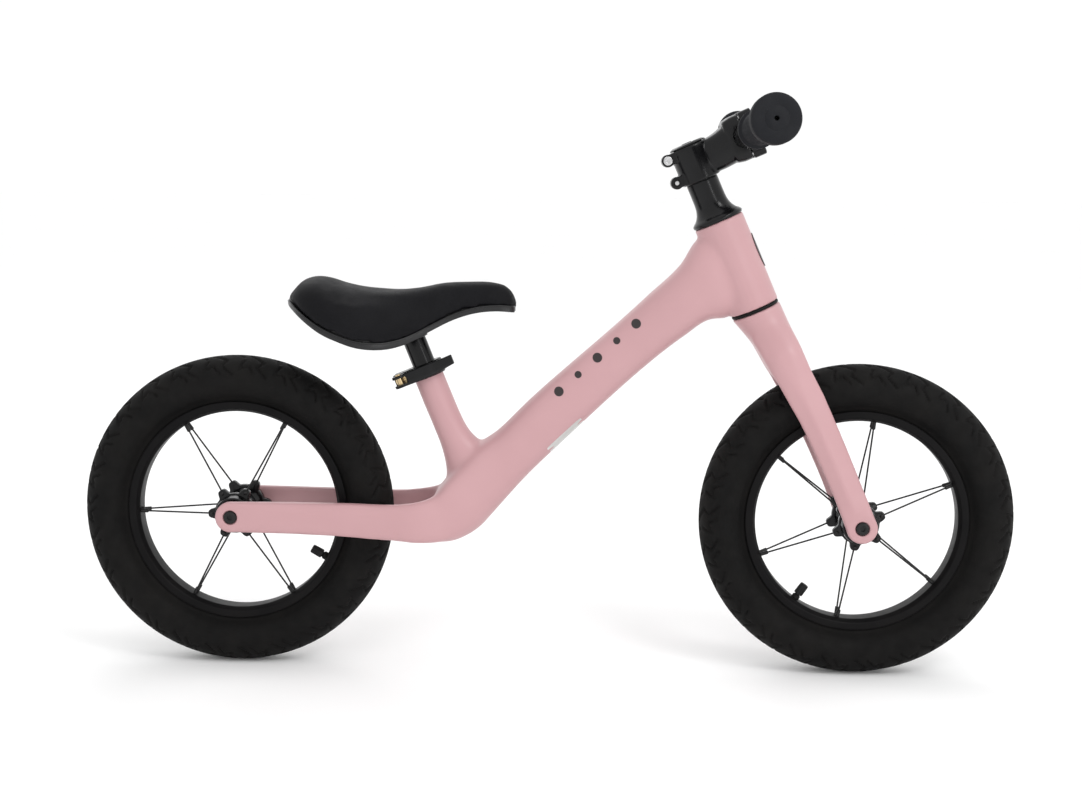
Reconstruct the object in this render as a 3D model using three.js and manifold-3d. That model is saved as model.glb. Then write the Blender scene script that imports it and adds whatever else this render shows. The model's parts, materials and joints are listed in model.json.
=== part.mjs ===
// A child's balance bike: a cast magnesium frame and fork on two spoked 12 inch wheels with air tyres.
// Millimetres. +X is forward, +Y is the rider's left, +Z is up.
// The origin is on the ground, midway between the two axles.
import * as THREE from "three";
import { mergeVertices } from "three/addons/utils/BufferGeometryUtils.js";
import Module from "manifold-3d";

const wasm = await Module();
wasm.setup();

// ---------------------------------------------------------------- driving dimensions

const WHEELBASE = 601;
const TYRE_RADIUS = 151.5; // a 50-203 tyre
const HEAD_ANGLE = 66.2; // of the steering axis, in degrees above the horizontal
const FORK_LENGTH = 226.5; // along the steering axis, from the crown seat to the axle
const FORK_RAKE = 12; // from the steering axis forward to the axle
const SEAT_ANGLE = 68;
const SEAT_TUBE_TOP = new THREE.Vector3(-114.6, 0, 285);
const HUB_WIDTH = 74; // between the inner faces of a pair of dropouts
const DROPOUT_THICKNESS = 10;
const DROPOUT_RADIUS = 14.7;
const BAR_HALF_WIDTH = 190;
const BAR_RADIUS = 11.1;
const GAP = 0.3; // between pieces that touch

const HEAD_TUBE_RADIUS = 24;
const HEAD_TUBE_BOTTOM = 2;
const HEAD_TUBE_TOP = 91.7;
const STEERER_RADIUS = 14.3;
const BEARING_RADIUS = 20.5;
const BEARING_HEIGHT = 7;
const SEAT_TUBE_RADIUS = 14.3;
const SEAT_POST_RADIUS = 11.1;
const SPOKES_PER_SIDE = 6;
const REAR_SPOKE_PHASE = 2; // degrees from +X towards +Z
const FRONT_SPOKE_PHASE = 21.5;
const REAR_VALVE_ANGLE = -29;
const FRONT_VALVE_ANGLE = 235;

// ---------------------------------------------------------------- materials

const material = (color, roughness, metalness) =>
  new THREE.MeshStandardMaterial({ color, roughness, metalness });
const PINK = material(0xe3a9ad, 0.55, 0.1);
const BLACK_ALLOY = material(0x141416, 0.28, 0.7);
const RIM_BLACK = material(0x1a1a1c, 0.4, 0.5);
const TYRE_RUBBER = material(0x1b1a1a, 0.85, 0);
const GRIP_RUBBER = material(0x202228, 0.75, 0);
const STEEL = material(0x9a9a9c, 0.3, 0.9);
const BLACK_STEEL = material(0x18181a, 0.35, 0.8);
const BRASS = material(0xb9975a, 0.3, 0.9);
const PLASTIC = material(0x1c1c1f, 0.5, 0);
const SADDLE_COVER = material(0x222226, 0.6, 0);

// ---------------------------------------------------------------- solids

const radians = THREE.MathUtils.degToRad;
const at = (x, y, z) => new THREE.Vector3(x, y, z);
const X_AXIS = at(1, 0, 0);
const Y_AXIS = at(0, 1, 0);
const Z_AXIS = at(0, 0, 1);

// The closed solid of a geometry, with its faces turned outwards.
function solid(geometry) {
  const bare = geometry.clone();
  bare.deleteAttribute("normal");
  bare.deleteAttribute("uv");
  const merged = mergeVertices(bare, 1e-4);
  const vertProperties = merged.attributes.position.array;
  const triVerts = new Uint32Array(merged.index.array);
  const made = new wasm.Manifold(new wasm.Mesh({ numProp: 3, vertProperties, triVerts }));
  if (made.volume() > 0) return made;
  const turned = triVerts.map((_, i) => triVerts[i - (i % 3) + [0, 2, 1][i % 3]]);
  return new wasm.Manifold(new wasm.Mesh({ numProp: 3, vertProperties, triVerts: turned }));
}

const join = (first, ...rest) => rest.reduce((sum, one) => sum.add(one), first);
const cut = (first, ...rest) => rest.reduce((left, one) => left.subtract(one), first);

function geometryOf(made) {
  const mesh = made.getMesh();
  const geometry = new THREE.BufferGeometry();
  const positions = new Float32Array(mesh.numVert * 3);
  for (let i = 0; i < mesh.numVert; i++) {
    const start = i * mesh.numProp;
    positions.set(mesh.vertProperties.subarray(start, start + 3), i * 3);
  }
  geometry.setAttribute("position", new THREE.BufferAttribute(positions, 3));
  geometry.setIndex(new THREE.BufferAttribute(mesh.triVerts, 1));
  return geometry;
}

function addPart(group, name, made, look) {
  const mesh = new THREE.Mesh(geometryOf(made), look);
  mesh.name = name;
  group.add(mesh);
}

// A round bar between two points; endRadius makes it a cone.
function rod(from, to, radius, sides = 20, endRadius = radius) {
  const run = to.clone().sub(from);
  const geometry = new THREE.CylinderGeometry(endRadius, radius, run.length(), sides);
  geometry.applyQuaternion(new THREE.Quaternion().setFromUnitVectors(Y_AXIS, run.normalize()));
  geometry.translate(...from.clone().add(to).multiplyScalar(0.5).toArray());
  return solid(geometry);
}

function box(lowX, highX, lowY, highY, lowZ, highZ) {
  const geometry = new THREE.BoxGeometry(highX - lowX, highY - lowY, highZ - lowZ);
  geometry.translate((lowX + highX) / 2, (lowY + highY) / 2, (lowZ + highZ) / 2);
  return solid(geometry);
}

// Turns a closed profile of [radius, distance along the axis] points about +Y.
function turnedAboutY(profile, sides = 24) {
  const loop = [...profile, profile[0]].map(([r, y]) => new THREE.Vector2(r, y));
  return new THREE.LatheGeometry(loop, sides);
}

// The same about +Z.
const turnedAboutZ = (profile, sides = 24) => turnedAboutY(profile, sides).rotateX(Math.PI / 2);

const sleeve = (inner, outer, low, high) => [[inner, low], [outer, low], [outer, high], [inner, high]];

// A closed solid through rings of points that all have the same count.
function loft(rings) {
  const count = rings[0].length;
  const positions = rings.flat().flatMap((p) => p.toArray());
  const index = [];
  for (let r = 0; r < rings.length - 1; r++) {
    for (let i = 0; i < count; i++) {
      const a = r * count + i;
      const b = r * count + ((i + 1) % count);
      index.push(a, b, b + count, a, b + count, a + count);
    }
  }
  const last = (rings.length - 1) * count;
  for (const [a, b, c] of capTriangles(rings[0])) index.push(c, b, a);
  for (const [a, b, c] of capTriangles(rings.at(-1))) index.push(last + a, last + b, last + c);
  const geometry = new THREE.BufferGeometry();
  geometry.setAttribute("position", new THREE.Float32BufferAttribute(positions, 3));
  geometry.setIndex(index);
  return solid(geometry);
}

// Triangles that close a flat ring, in the ring's own order.
function capTriangles(ring) {
  const normal = at(0, 0, 0);
  ring.forEach((p, i) => normal.add(p.clone().cross(ring[(i + 1) % ring.length])));
  normal.normalize();
  const right = ring[1].clone().sub(ring[0]).normalize();
  const up = normal.clone().cross(right);
  const flat = ring.map((p) => new THREE.Vector2(p.dot(right), p.dot(up)));
  return THREE.ShapeUtils.triangulateShape(flat, []);
}

// A ring with rounded sides. power 2 is an ellipse; a larger one is squarer.
function roundedRing(centre, right, up, halfRight, halfUp, power = 2, count = 16) {
  const swell = (v) => Math.sign(v) * Math.abs(v) ** (2 / power);
  return Array.from({ length: count }, (_, i) => {
    const angle = (2 * Math.PI * (i + 0.5)) / count;
    return centre
      .clone()
      .addScaledVector(right, halfRight * swell(Math.cos(angle)))
      .addScaledVector(up, halfUp * swell(Math.sin(angle)));
  });
}

// A smooth curve through [x, value] points, read at x.
function curveAt(points, x) {
  const slope = (i) => {
    const [x0, v0] = points[Math.max(i - 1, 0)];
    const [x1, v1] = points[Math.min(i + 1, points.length - 1)];
    return (v1 - v0) / (x1 - x0);
  };
  const passed = points.filter(([px]) => px <= x).length - 1;
  const span = THREE.MathUtils.clamp(passed, 0, points.length - 2);
  const [x0, v0] = points[span];
  const [x1, v1] = points[span + 1];
  const t = THREE.MathUtils.clamp((x - x0) / (x1 - x0), 0, 1);
  const startShare = 2 * t ** 3 - 3 * t ** 2 + 1;
  const startSlope = t ** 3 - 2 * t ** 2 + t;
  const endSlope = t ** 3 - t ** 2;
  const bend = (x1 - x0) * (startSlope * slope(span) + endSlope * slope(span + 1));
  return startShare * v0 + (1 - startShare) * v1 + bend;
}

// ---------------------------------------------------------------- frames of reference

const bike = new THREE.Group();

// Steering frame: origin at the crown seat, +Z up the steering axis, +X forward and square to it.
const steering = new THREE.Group();
steering.rotation.y = -radians(90 - HEAD_ANGLE);
const frontHub = at(WHEELBASE / 2, 0, TYRE_RADIUS);
const rearHub = at(-WHEELBASE / 2, 0, TYRE_RADIUS);
steering.position.copy(at(-FORK_RAKE, 0, FORK_LENGTH).applyEuler(steering.rotation).add(frontHub));
steering.updateMatrix();

// Seat frame: origin at the foot of the seat clamp, +Z up the seat tube.
const seat = new THREE.Group();
seat.rotation.y = -radians(90 - SEAT_ANGLE);
seat.position.copy(SEAT_TUBE_TOP);
seat.updateMatrix();

const rearWheel = new THREE.Group();
rearWheel.position.copy(rearHub);
const frontWheel = new THREE.Group();
frontWheel.position.copy(frontHub);
bike.add(steering, seat, rearWheel, frontWheel);

const steeringPoint = (x, y, z) => at(x, y, z).applyMatrix4(steering.matrix);
const seatPoint = (x, y, z) => at(x, y, z).applyMatrix4(seat.matrix);

// ---------------------------------------------------------------- frame

// The hole, counterbore and inner boss of both dropouts of one axle, about a point given in any frame.
const OUTER_FACE = HUB_WIDTH / 2 + DROPOUT_THICKNESS;
const BOSS_HEIGHT = 0.8;
const AXLE_HOLE_RADIUS = 3.4;
const COUNTERBORE_RADIUS = 6.9;
const COUNTERBORE_DEPTH = 4;

function dropoutPad(x, z, side) {
  const inner = at(x, side * (HUB_WIDTH / 2), z);
  const boss = at(x, side * (HUB_WIDTH / 2 - BOSS_HEIGHT), z);
  const outer = at(x, side * OUTER_FACE, z);
  return join(rod(inner, outer, DROPOUT_RADIUS, 16), rod(boss, outer, 9, 10));
}

function dropoutHoles(x, z) {
  const through = rod(at(x, -OUTER_FACE - 5, z), at(x, OUTER_FACE + 5, z), AXLE_HOLE_RADIUS, 8);
  const counterbores = [-1, 1].map((side) => {
    const floor = at(x, side * (OUTER_FACE - COUNTERBORE_DEPTH), z);
    return rod(floor, at(x, side * (OUTER_FACE + 5), z), COUNTERBORE_RADIUS, 12);
  });
  return join(through, ...counterbores);
}

// Side-view stations of the spine, from the yoke up to the head tube: top x, z, bottom x, z, half width.
const SPINE = [
  [-108.5, 171, -108.5, 126.5, 40, 5],
  [-89, 195, -86, 127, 37, 4],
  [-75, 210, -65, 138, 33, 3.4],
  [-62, 222.5, -49, 155, 28, 3],
  [-49, 232, -25, 182.8, 24, 2.8],
  [-16, 264.5, 19.5, 227.5, 21.5, 2.8],
  [95, 365.5, 131, 328, 21.5, 2.8],
  [127, 397, 155, 344, 22.5, 2.8],
  [140, 418.5, 173, 347, 23, 2.6],
  [157, 428, 188, 360, 19, 2.4],
];
const SPINE_WALL = 3.6;

function spine(inset = 0, stations = SPINE) {
  return loft(
    stations.map(([topX, topZ, bottomX, bottomZ, halfWidth, power]) => {
      const top = at(topX, 0, topZ);
      const bottom = at(bottomX, 0, bottomZ);
      const halfHeight = top.distanceTo(bottom) / 2 - inset;
      const up = top.clone().sub(bottom).normalize();
      const centre = top.add(bottom).multiplyScalar(0.5);
      return roundedRing(centre, Y_AXIS, up, halfWidth - inset, halfHeight, power, inset ? 10 : 14);
    }),
  );
}

// Stations down the seat tube: height, centre forward of the axis, half length, half width.
function seatTube() {
  const stations = [
    [12.5, 0, SEAT_TUBE_RADIUS, SEAT_TUBE_RADIUS],
    [-45, 0.4, 14.8, 14.6],
    [-66, 2, 16.4, 16],
    [-86, 6, 23, 20],
    [-108, 9, 33, 30],
  ];
  return loft(
    stations.map(([height, forward, halfLength, halfWidth]) => {
      const centre = seatPoint(forward, 0, height);
      const ahead = seatPoint(forward + 1, 0, height).sub(centre);
      return roundedRing(centre, Y_AXIS, ahead, halfWidth, halfLength, 2, 16);
    }),
  );
}

// Stations along one stay, from the dropout forward: x, low z, high z, inner y, outer y.
function stay(side) {
  const stations = [
    [-300.5, 136.8, 166.2, 37, 47],
    [-285, 136.6, 166.4, 36.6, 47],
    [-240, 136, 166.2, 34, 46.5],
    [-190, 134, 165.8, 33, 46],
    [-145, 130.5, 165.8, 33, 46],
    [-118, 128, 169.5, 31, 46],
    [-98, 127, 176, 16, 42],
  ];
  const arm = loft(
    stations.map(([x, low, high, inner, outer]) => {
      const centre = at(x, (side * (inner + outer)) / 2, (low + high) / 2);
      return roundedRing(centre, Y_AXIS, at(0, 0, 1), (outer - inner) / 2, (high - low) / 2, 5, 12);
    }),
  );
  return join(arm, dropoutPad(rearHub.x, rearHub.z, side));
}

function frame() {
  const headTube = rod(
    steeringPoint(0, 0, HEAD_TUBE_BOTTOM),
    steeringPoint(0, 0, HEAD_TUBE_TOP),
    HEAD_TUBE_RADIUS,
    20,
  );
  const steererBore = rod(steeringPoint(0, 0, -5), steeringPoint(0, 0, 100), 17, 14);
  const seats = [
    [-5, HEAD_TUBE_BOTTOM + BEARING_HEIGHT + 1],
    [HEAD_TUBE_TOP - BEARING_HEIGHT - 1, 100],
  ].map(([low, high]) =>
    rod(steeringPoint(0, 0, low), steeringPoint(0, 0, high), BEARING_RADIUS + 2 * GAP, 20),
  );
  const postBore = rod(seatPoint(0, 0, -128), seatPoint(0, 0, 20), SEAT_POST_RADIUS + 0.4, 20);
  const clampSlot = solid(
    new THREE.BoxGeometry(20, 3, 30).translate(-14, 0, 0).applyMatrix4(seat.matrix),
  );
  const body = join(headTube, spine(), seatTube(), stay(-1), stay(1));
  const hollow = spine(SPINE_WALL, SPINE.slice(3));
  const holes = dropoutHoles(rearHub.x, rearHub.z);
  return cut(body, hollow, steererBore, ...seats, postBore, clampSlot, holes);
}

addPart(bike, "frame", frame(), PINK);

// ---------------------------------------------------------------- fork and headset, in the steering frame

const CROWN_TOP = -1.1;
const ARCH_RADIUS = 31; // half the gap between the blades where the tyre passes

function fork() {
  // height, centre forward of the axis, half length fore and aft, half width, power
  const crown = loft(
    [
      [CROWN_TOP, 0.4, 23.5, 23.4, 2],
      [-14, 2.6, 21.6, 25.5, 2.2],
      [-30, 5, 19.6, 35, 2.8],
      [-44, 6, 19, 43, 3.4],
      [-66, 7.6, 18, 44, 4],
    ].map(([height, forward, halfLength, halfWidth, power]) =>
      roundedRing(at(forward, 0, height), Y_AXIS, at(1, 0, 0), halfWidth, halfLength, power, 16),
    ),
  );
  const blade = (side) =>
    loft(
      [
        [-60, 7.2, 18.2, 31, 44],
        [-78, 9, 17.3, 31, 44],
        [-106, 11.4, 15.7, 31.5, 44.3],
        [-150, 12.9, 14.8, 33, 45],
        [-190, 13, 14.4, 35.5, 46.4],
        [-226.5, FORK_RAKE, 14.4, 37, 47],
      ].map(([height, forward, halfLength, inner, outer]) => {
        const centre = at(forward, (side * (inner + outer)) / 2, height);
        return roundedRing(centre, Y_AXIS, at(1, 0, 0), (outer - inner) / 2, halfLength, 3, 12);
      }),
    );
  const archCentre = -62 - ARCH_RADIUS;
  const arch = join(
    rod(at(-40, 0, archCentre), at(60, 0, archCentre), ARCH_RADIUS, 16),
    box(-40, 60, -ARCH_RADIUS, ARCH_RADIUS, archCentre - 30, archCentre),
  );
  const axle = [FORK_RAKE, -FORK_LENGTH];
  const pads = [-1, 1].map((side) => dropoutPad(...axle, side));
  const steererSocket = rod(at(0, 0, -40), at(0, 0, 5), STEERER_RADIUS + GAP, 20);
  const body = join(cut(crown, arch), blade(-1), blade(1), ...pads);
  return cut(body, steererSocket, dropoutHoles(...axle));
}

function bearing(low, inner, outer, height) {
  return solid(turnedAboutZ(sleeve(inner, outer, low, low + height), 16));
}

addPart(steering, "fork", fork(), PINK);
addPart(
  steering,
  "steerer_tube",
  solid(turnedAboutZ(sleeve(12.1, STEERER_RADIUS, -39, 166), 16)),
  BLACK_ALLOY,
);
addPart(
  steering,
  "fork_crown_seal",
  solid(turnedAboutZ(sleeve(STEERER_RADIUS + GAP, 23.7, CROWN_TOP + GAP, HEAD_TUBE_BOTTOM - GAP), 16)),
  GRIP_RUBBER,
);
const BEARING_INSET = 0.6;
const headsetBearing = (low) => bearing(low, STEERER_RADIUS + 0.8, BEARING_RADIUS, BEARING_HEIGHT);
addPart(steering, "lower_headset_bearing", headsetBearing(HEAD_TUBE_BOTTOM + BEARING_INSET), STEEL);
addPart(
  steering,
  "upper_headset_bearing",
  headsetBearing(HEAD_TUBE_TOP - BEARING_INSET - BEARING_HEIGHT),
  STEEL,
);

const STEM_BOTTOM = 133.3;
const STEM_TOP = 168;
addPart(
  steering,
  "headset_cover",
  solid(
    turnedAboutZ(
      [
        [STEERER_RADIUS + GAP, 92],
        [24.4, 92],
        [24.6, 94.6],
        [21, 98.2],
        [17.6, 103],
        [15.8, 109],
        [15.4, 116],
        [15.4, STEM_BOTTOM - GAP],
        [STEERER_RADIUS + GAP, STEM_BOTTOM - GAP],
      ],
      20,
    ),
  ),
  BLACK_ALLOY,
);

// ---------------------------------------------------------------- stem and bar, in the steering frame

const BAR_FORWARD = 52;
const BAR_HEIGHT = 155.7;
const PINCH_HEIGHTS = { lower: 140, upper: 162.5 };
const PINCH_BACK = -22.8;
const FACE_BOLT_SPREAD = { side: 14.5, height: 17.3 };
const FACE_SPLIT = BAR_FORWARD + 0.8;
const CLAMP_HALF_WIDTH = 21;

const barSeat = () =>
  rod(at(BAR_FORWARD, -30, BAR_HEIGHT), at(BAR_FORWARD, 30, BAR_HEIGHT), BAR_RADIUS + 2 * GAP, 16);

function stemBody() {
  const clamp = rod(at(0, 0, STEM_BOTTOM), at(0, 0, STEM_TOP), 18.6, 20);
  // forward, centre height, half width, half height
  const neck = loft(
    [
      [2, 151, 15, 16.6],
      [15, 151.3, 14.5, 16.8],
      [27, 152.3, 17.5, 17.8],
      [38, 154.8, 20.5, 19.5],
    ].map(([forward, height, halfWidth, halfHeight]) =>
      roundedRing(at(forward, 0, height), Y_AXIS, at(0, 0, 1), halfWidth, halfHeight, 3, 12),
    ),
  );
  const jaw = loft(
    [[36.5, 20.5], [44, 22.3], [BAR_FORWARD, 22.3]].map(([forward, halfHeight]) =>
      roundedRing(at(forward, 0, BAR_HEIGHT), Y_AXIS, at(0, 0, 1), CLAMP_HALF_WIDTH, halfHeight, 6, 12),
    ),
  );
  const lugs = Object.values(PINCH_HEIGHTS).map((height) =>
    join(
      rod(at(PINCH_BACK, -12, height), at(PINCH_BACK, 12, height), 6, 12),
      box(PINCH_BACK, -10, -12, 12, height - 5.2, height + 5.2),
    ),
  );
  const lugHoles = Object.values(PINCH_HEIGHTS).map((height) =>
    rod(at(PINCH_BACK, -20, height), at(PINCH_BACK, 20, height), 2.8, 10),
  );
  const bore = rod(at(0, 0, 120), at(0, 0, 180), STEERER_RADIUS + GAP, 20);
  const slot = box(-35, 0, -1.2, 1.2, 120, 180);
  const faceHoles = faceBoltPlaces().map(([y, z]) => rod(at(38, y, z), at(60, y, z), 2.8, 6));
  return cut(join(clamp, neck, jaw, ...lugs), bore, slot, barSeat(), ...lugHoles, ...faceHoles);
}

function faceBoltPlaces() {
  const { side, height } = FACE_BOLT_SPREAD;
  return [-side, side].flatMap((y) => [BAR_HEIGHT - height, BAR_HEIGHT + height].map((z) => [y, z]));
}

const FACE_BOLT_FLOOR = 61;

function stemFaceplate() {
  const arch = rod(
    at(BAR_FORWARD, -CLAMP_HALF_WIDTH, BAR_HEIGHT),
    at(BAR_FORWARD, CLAMP_HALF_WIDTH, BAR_HEIGHT),
    15.6,
    16,
  );
  const ears = faceBoltPlaces().map(([y, z]) =>
    join(
      rod(at(FACE_SPLIT, y, z), at(65, y, z), 5.6, 8),
      box(FACE_SPLIT, 62, y - 5.6, y + 5.6, Math.min(z, BAR_HEIGHT), Math.max(z, BAR_HEIGHT)),
    ),
  );
  const behind = box(20, FACE_SPLIT, -40, 40, 120, 190);
  const window = box(BAR_FORWARD, 80, -6.5, 6.5, BAR_HEIGHT - 7, BAR_HEIGHT + 7);
  const holes = faceBoltPlaces().map(([y, z]) =>
    join(rod(at(50, y, z), at(70, y, z), 2.8, 6), rod(at(FACE_BOLT_FLOOR, y, z), at(70, y, z), 4.8, 8)),
  );
  return cut(join(arch, ...ears), behind, barSeat(), window, ...holes);
}

// A socket-head bolt from the underside of its head: shank one way, head the other.
function bolt(seatAt, direction, shank, shankRadius, headRadius, headHeight) {
  const tip = seatAt.clone().addScaledVector(direction, -shank);
  const top = seatAt.clone().addScaledVector(direction, headHeight);
  const socketFloor = top.clone().addScaledVector(direction, -headHeight * 0.6);
  const above = top.clone().addScaledVector(direction, 5);
  const whole = join(rod(tip, seatAt, shankRadius, 6), rod(seatAt, top, headRadius, 12));
  return cut(whole, rod(socketFloor, above, headRadius * 0.48, 6));
}

addPart(steering, "stem_body", stemBody(), BLACK_ALLOY);
addPart(steering, "stem_faceplate", stemFaceplate(), BLACK_ALLOY);
addPart(
  steering,
  "stem_pinch_bolt_upper",
  bolt(at(PINCH_BACK, -12 - GAP, PINCH_HEIGHTS.upper), at(0, -1, 0), 24, 2.4, 4.2, 3),
  STEEL,
);
addPart(
  steering,
  "stem_pinch_bolt_lower",
  bolt(at(PINCH_BACK, 12 + GAP, PINCH_HEIGHTS.lower), at(0, 1, 0), 24, 2.4, 4.2, 3),
  STEEL,
);
faceBoltPlaces().forEach(([y, z], i) => {
  const head = at(FACE_BOLT_FLOOR + GAP, y, z);
  addPart(steering, `faceplate_bolt_${i + 1}`, bolt(head, at(1, 0, 0), 19, 2.4, 4.2, 4.2), STEEL);
});

const TOP_CAP_TOP = 171;
const TOP_CAP_RECESS = 169.2;
addPart(
  steering,
  "stem_top_cap",
  solid(
    turnedAboutZ(
      [[3.4, STEM_TOP + GAP], [16.8, STEM_TOP + GAP], [16.8, 169.4], [14.2, 170.7], [7, TOP_CAP_TOP],
        [5.4, TOP_CAP_TOP], [5.4, TOP_CAP_RECESS], [3.4, TOP_CAP_RECESS]],
      14,
    ),
  ),
  BLACK_ALLOY,
);
const TOP_BOLT_SEAT = at(0, 0, TOP_CAP_RECESS + GAP);
addPart(steering, "top_cap_bolt", bolt(TOP_BOLT_SEAT, Z_AXIS, 23, 2.8, 4.9, 2), BLACK_STEEL);
addPart(steering, "star_nut", solid(turnedAboutZ(sleeve(3.2, 11.6, 149, 156), 12)), STEEL);

// Bar: straight in the clamp, then rising a little to each end.
const BAR_STRAIGHT = 30;
const BAR_END = at(65.4, BAR_HALF_WIDTH - 4, 160.6);
const BAR_CENTRE = at(BAR_FORWARD, 0, BAR_HEIGHT);

function barCentreline(side) {
  const knee = at(BAR_FORWARD, side * BAR_STRAIGHT, BAR_HEIGHT);
  const end = at(BAR_END.x, side * BAR_END.y, BAR_END.z);
  return { knee, end, run: end.clone().sub(knee).normalize() };
}

function handlebar() {
  const tubeOf = (radius, overrun) => {
    const knees = [-1, 1].map((side) =>
      roundedRing(barCentreline(side).knee, X_AXIS, Z_AXIS, radius, radius, 2, 16),
    );
    const ends = [-1, 1].map((side) => {
      const { end, run } = barCentreline(side);
      const across = X_AXIS.clone().addScaledVector(run, -run.x).normalize();
      const upwards = run.clone().cross(across).multiplyScalar(-side);
      const centre = end.addScaledVector(run, overrun);
      return roundedRing(centre, across, upwards, radius, radius, 2, 16);
    });
    return loft([ends[0], ...knees, ends[1]]);
  };
  return cut(tubeOf(BAR_RADIUS, 0), tubeOf(BAR_RADIUS - 2, 5));
}

const GRIP_LENGTH = 100;

function grip(side) {
  const { end, run } = barCentreline(side);
  const inner = BAR_RADIUS + GAP;
  const outside = 4; // the rubber past the end of the bar
  const start = outside - GRIP_LENGTH;
  const profile = [
    [inner, start],
    [17.6, start],
    [17.6, start + 4],
    [14.4, start + 6],
    [15, -16],
    [21.6, -10],
    [21.6, 1],
    [17, outside],
    [2, outside],
    [2, GAP],
    [inner, GAP],
  ];
  const geometry = turnedAboutY(profile, 16);
  geometry.applyQuaternion(new THREE.Quaternion().setFromUnitVectors(Y_AXIS, run));
  geometry.translate(...end.toArray());
  return solid(geometry);
}

addPart(steering, "handlebar", handlebar(), BLACK_ALLOY);
addPart(steering, "grip_right", grip(-1), GRIP_RUBBER);
addPart(steering, "grip_left", grip(1), GRIP_RUBBER);

// ---------------------------------------------------------------- seat clamp, in the seat frame

const ROD_BACK = -24.5;
const ROD_HEIGHT = 6.8;
const ROD_RADIUS = 2.4;
const PIVOT_SIDE = -21; // the lever's cam pin, on the rider's right
const BAND_TOP = 13.6;

function clampBand() {
  const ring = rod(at(0, 0, -0.4), at(0, 0, BAND_TOP), 17.6, 20);
  const ears = box(-31, -12, -12.5, 12.5, 0.4, 13.2);
  const bore = rod(at(0, 0, -5), at(0, 0, 12.5 + GAP), SEAT_TUBE_RADIUS + 2 * GAP, 20);
  const postHole = rod(at(0, 0, 5), at(0, 0, 20), SEAT_POST_RADIUS + 0.6, 20);
  const slot = box(-35, -5, -1.5, 1.5, -5, 20);
  const rodHole = rod(
    at(ROD_BACK, -20, ROD_HEIGHT),
    at(ROD_BACK, 20, ROD_HEIGHT),
    ROD_RADIUS + GAP,
    14,
  );
  return cut(join(ring, ears), bore, postHole, slot, rodHole);
}

function clampRod() {
  const along = (side) => at(ROD_BACK, side, ROD_HEIGHT);
  const shaft = rod(along(PIVOT_SIDE), along(22.5), ROD_RADIUS, 14);
  const pin = rod(at(ROD_BACK, PIVOT_SIDE, 1.4), at(ROD_BACK, PIVOT_SIDE, 14), 3, 14);
  const washer = rod(along(-14), along(-12.9), 5.4, 18);
  return join(shaft, pin, washer);
}

// The lever lies beside the band, with its tip ahead of the seat tube. Its forked end holds the pin.
function clampLever() {
  const head = rod(at(ROD_BACK, PIVOT_SIDE, 0.8), at(ROD_BACK, PIVOT_SIDE, 12.8), 6.6, 18);
  // forward, centre side, half thickness, centre height, half height
  const arm = loft(
    [
      [ROD_BACK, -24.3, 2.4, 6.8, 6],
      [-10, -23.2, 1.9, 6.8, 6.2],
      [2, -21.6, 1.9, 6.8, 6.2],
      [12, -18.4, 2, 7, 5.8],
      [22, -15.2, 2.3, 7.8, 5],
      [29.5, -13.2, 2.6, 8.4, 4.6],
    ].map(([forward, side, halfThickness, height, halfHeight]) =>
      roundedRing(at(forward, side, height), Y_AXIS, at(0, 0, 1), halfThickness, halfHeight, 4, 8),
    ),
  );
  const pinHole = rod(at(ROD_BACK, PIVOT_SIDE, -5), at(ROD_BACK, PIVOT_SIDE, 20), 3.3, 14);
  const fork = box(ROD_BACK - 12, ROD_BACK + 8, PIVOT_SIDE - 12, 10, 3.6, 10);
  return cut(join(head, arm), pinHole, fork);
}

function clampNut() {
  const body = rod(at(ROD_BACK, 12.5 + GAP, ROD_HEIGHT), at(ROD_BACK, 21, ROD_HEIGHT), 6.2, 6, 5.4);
  const hole = rod(at(ROD_BACK, 5, ROD_HEIGHT), at(ROD_BACK, 30, ROD_HEIGHT), ROD_RADIUS + GAP, 16);
  return cut(body, hole);
}

addPart(seat, "seat_clamp_band", clampBand(), BLACK_ALLOY);
addPart(seat, "seat_clamp_rod", clampRod(), BRASS);
addPart(seat, "seat_clamp_lever", clampLever(), BLACK_ALLOY);
addPart(seat, "seat_clamp_nut", clampNut(), BLACK_STEEL);

// ---------------------------------------------------------------- seat post and saddle

const POST_TOP = 58;
const POST_BOTTOM = -100;
addPart(
  seat,
  "seat_post",
  solid(turnedAboutZ(sleeve(SEAT_POST_RADIUS - 2, SEAT_POST_RADIUS, POST_BOTTOM, POST_TOP), 16)),
  BLACK_ALLOY,
);

// The saddle is described over x: the height of its crown, the height of its lower edge and its half width.
const SADDLE_TAIL = -250.5;
const SADDLE_NOSE = -28.5;
const CROWN = [
  [-250.5, 363], [-243, 370], [-235, 377.5], [-223, 381], [-210, 378.6], [-197, 373.6], [-180, 369.8],
  [-160, 368], [-143, 367.4], [-124, 369.2], [-101, 374], [-76, 377], [-50, 377.4], [-40, 374.6],
  [-32, 366], [-28.5, 357],
];
const LOWER_EDGE = [
  [-250.5, 357.5], [-247, 355], [-239, 349.5], [-226, 340], [-210, 330], [-194, 323.3], [-178, 317.9],
  [-162, 315.6], [-146, 316.2], [-132, 320], [-113, 330], [-88, 342.4], [-69, 348.2], [-49, 350.2], [-28.5, 348.6],
];
const HALF_WIDTH = [
  [-250.5, 8], [-246, 26], [-238, 41], [-225, 53], [-208, 61], [-190, 64], [-172, 62.5], [-154, 56],
  [-136, 46], [-118, 36.5], [-98, 28.5], [-76, 23.5], [-54, 20], [-40, 17], [-32, 12], [-28.5, 5],
];
const SHELL_BAND = 6; // height of the plastic edge that shows below the cover

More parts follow.
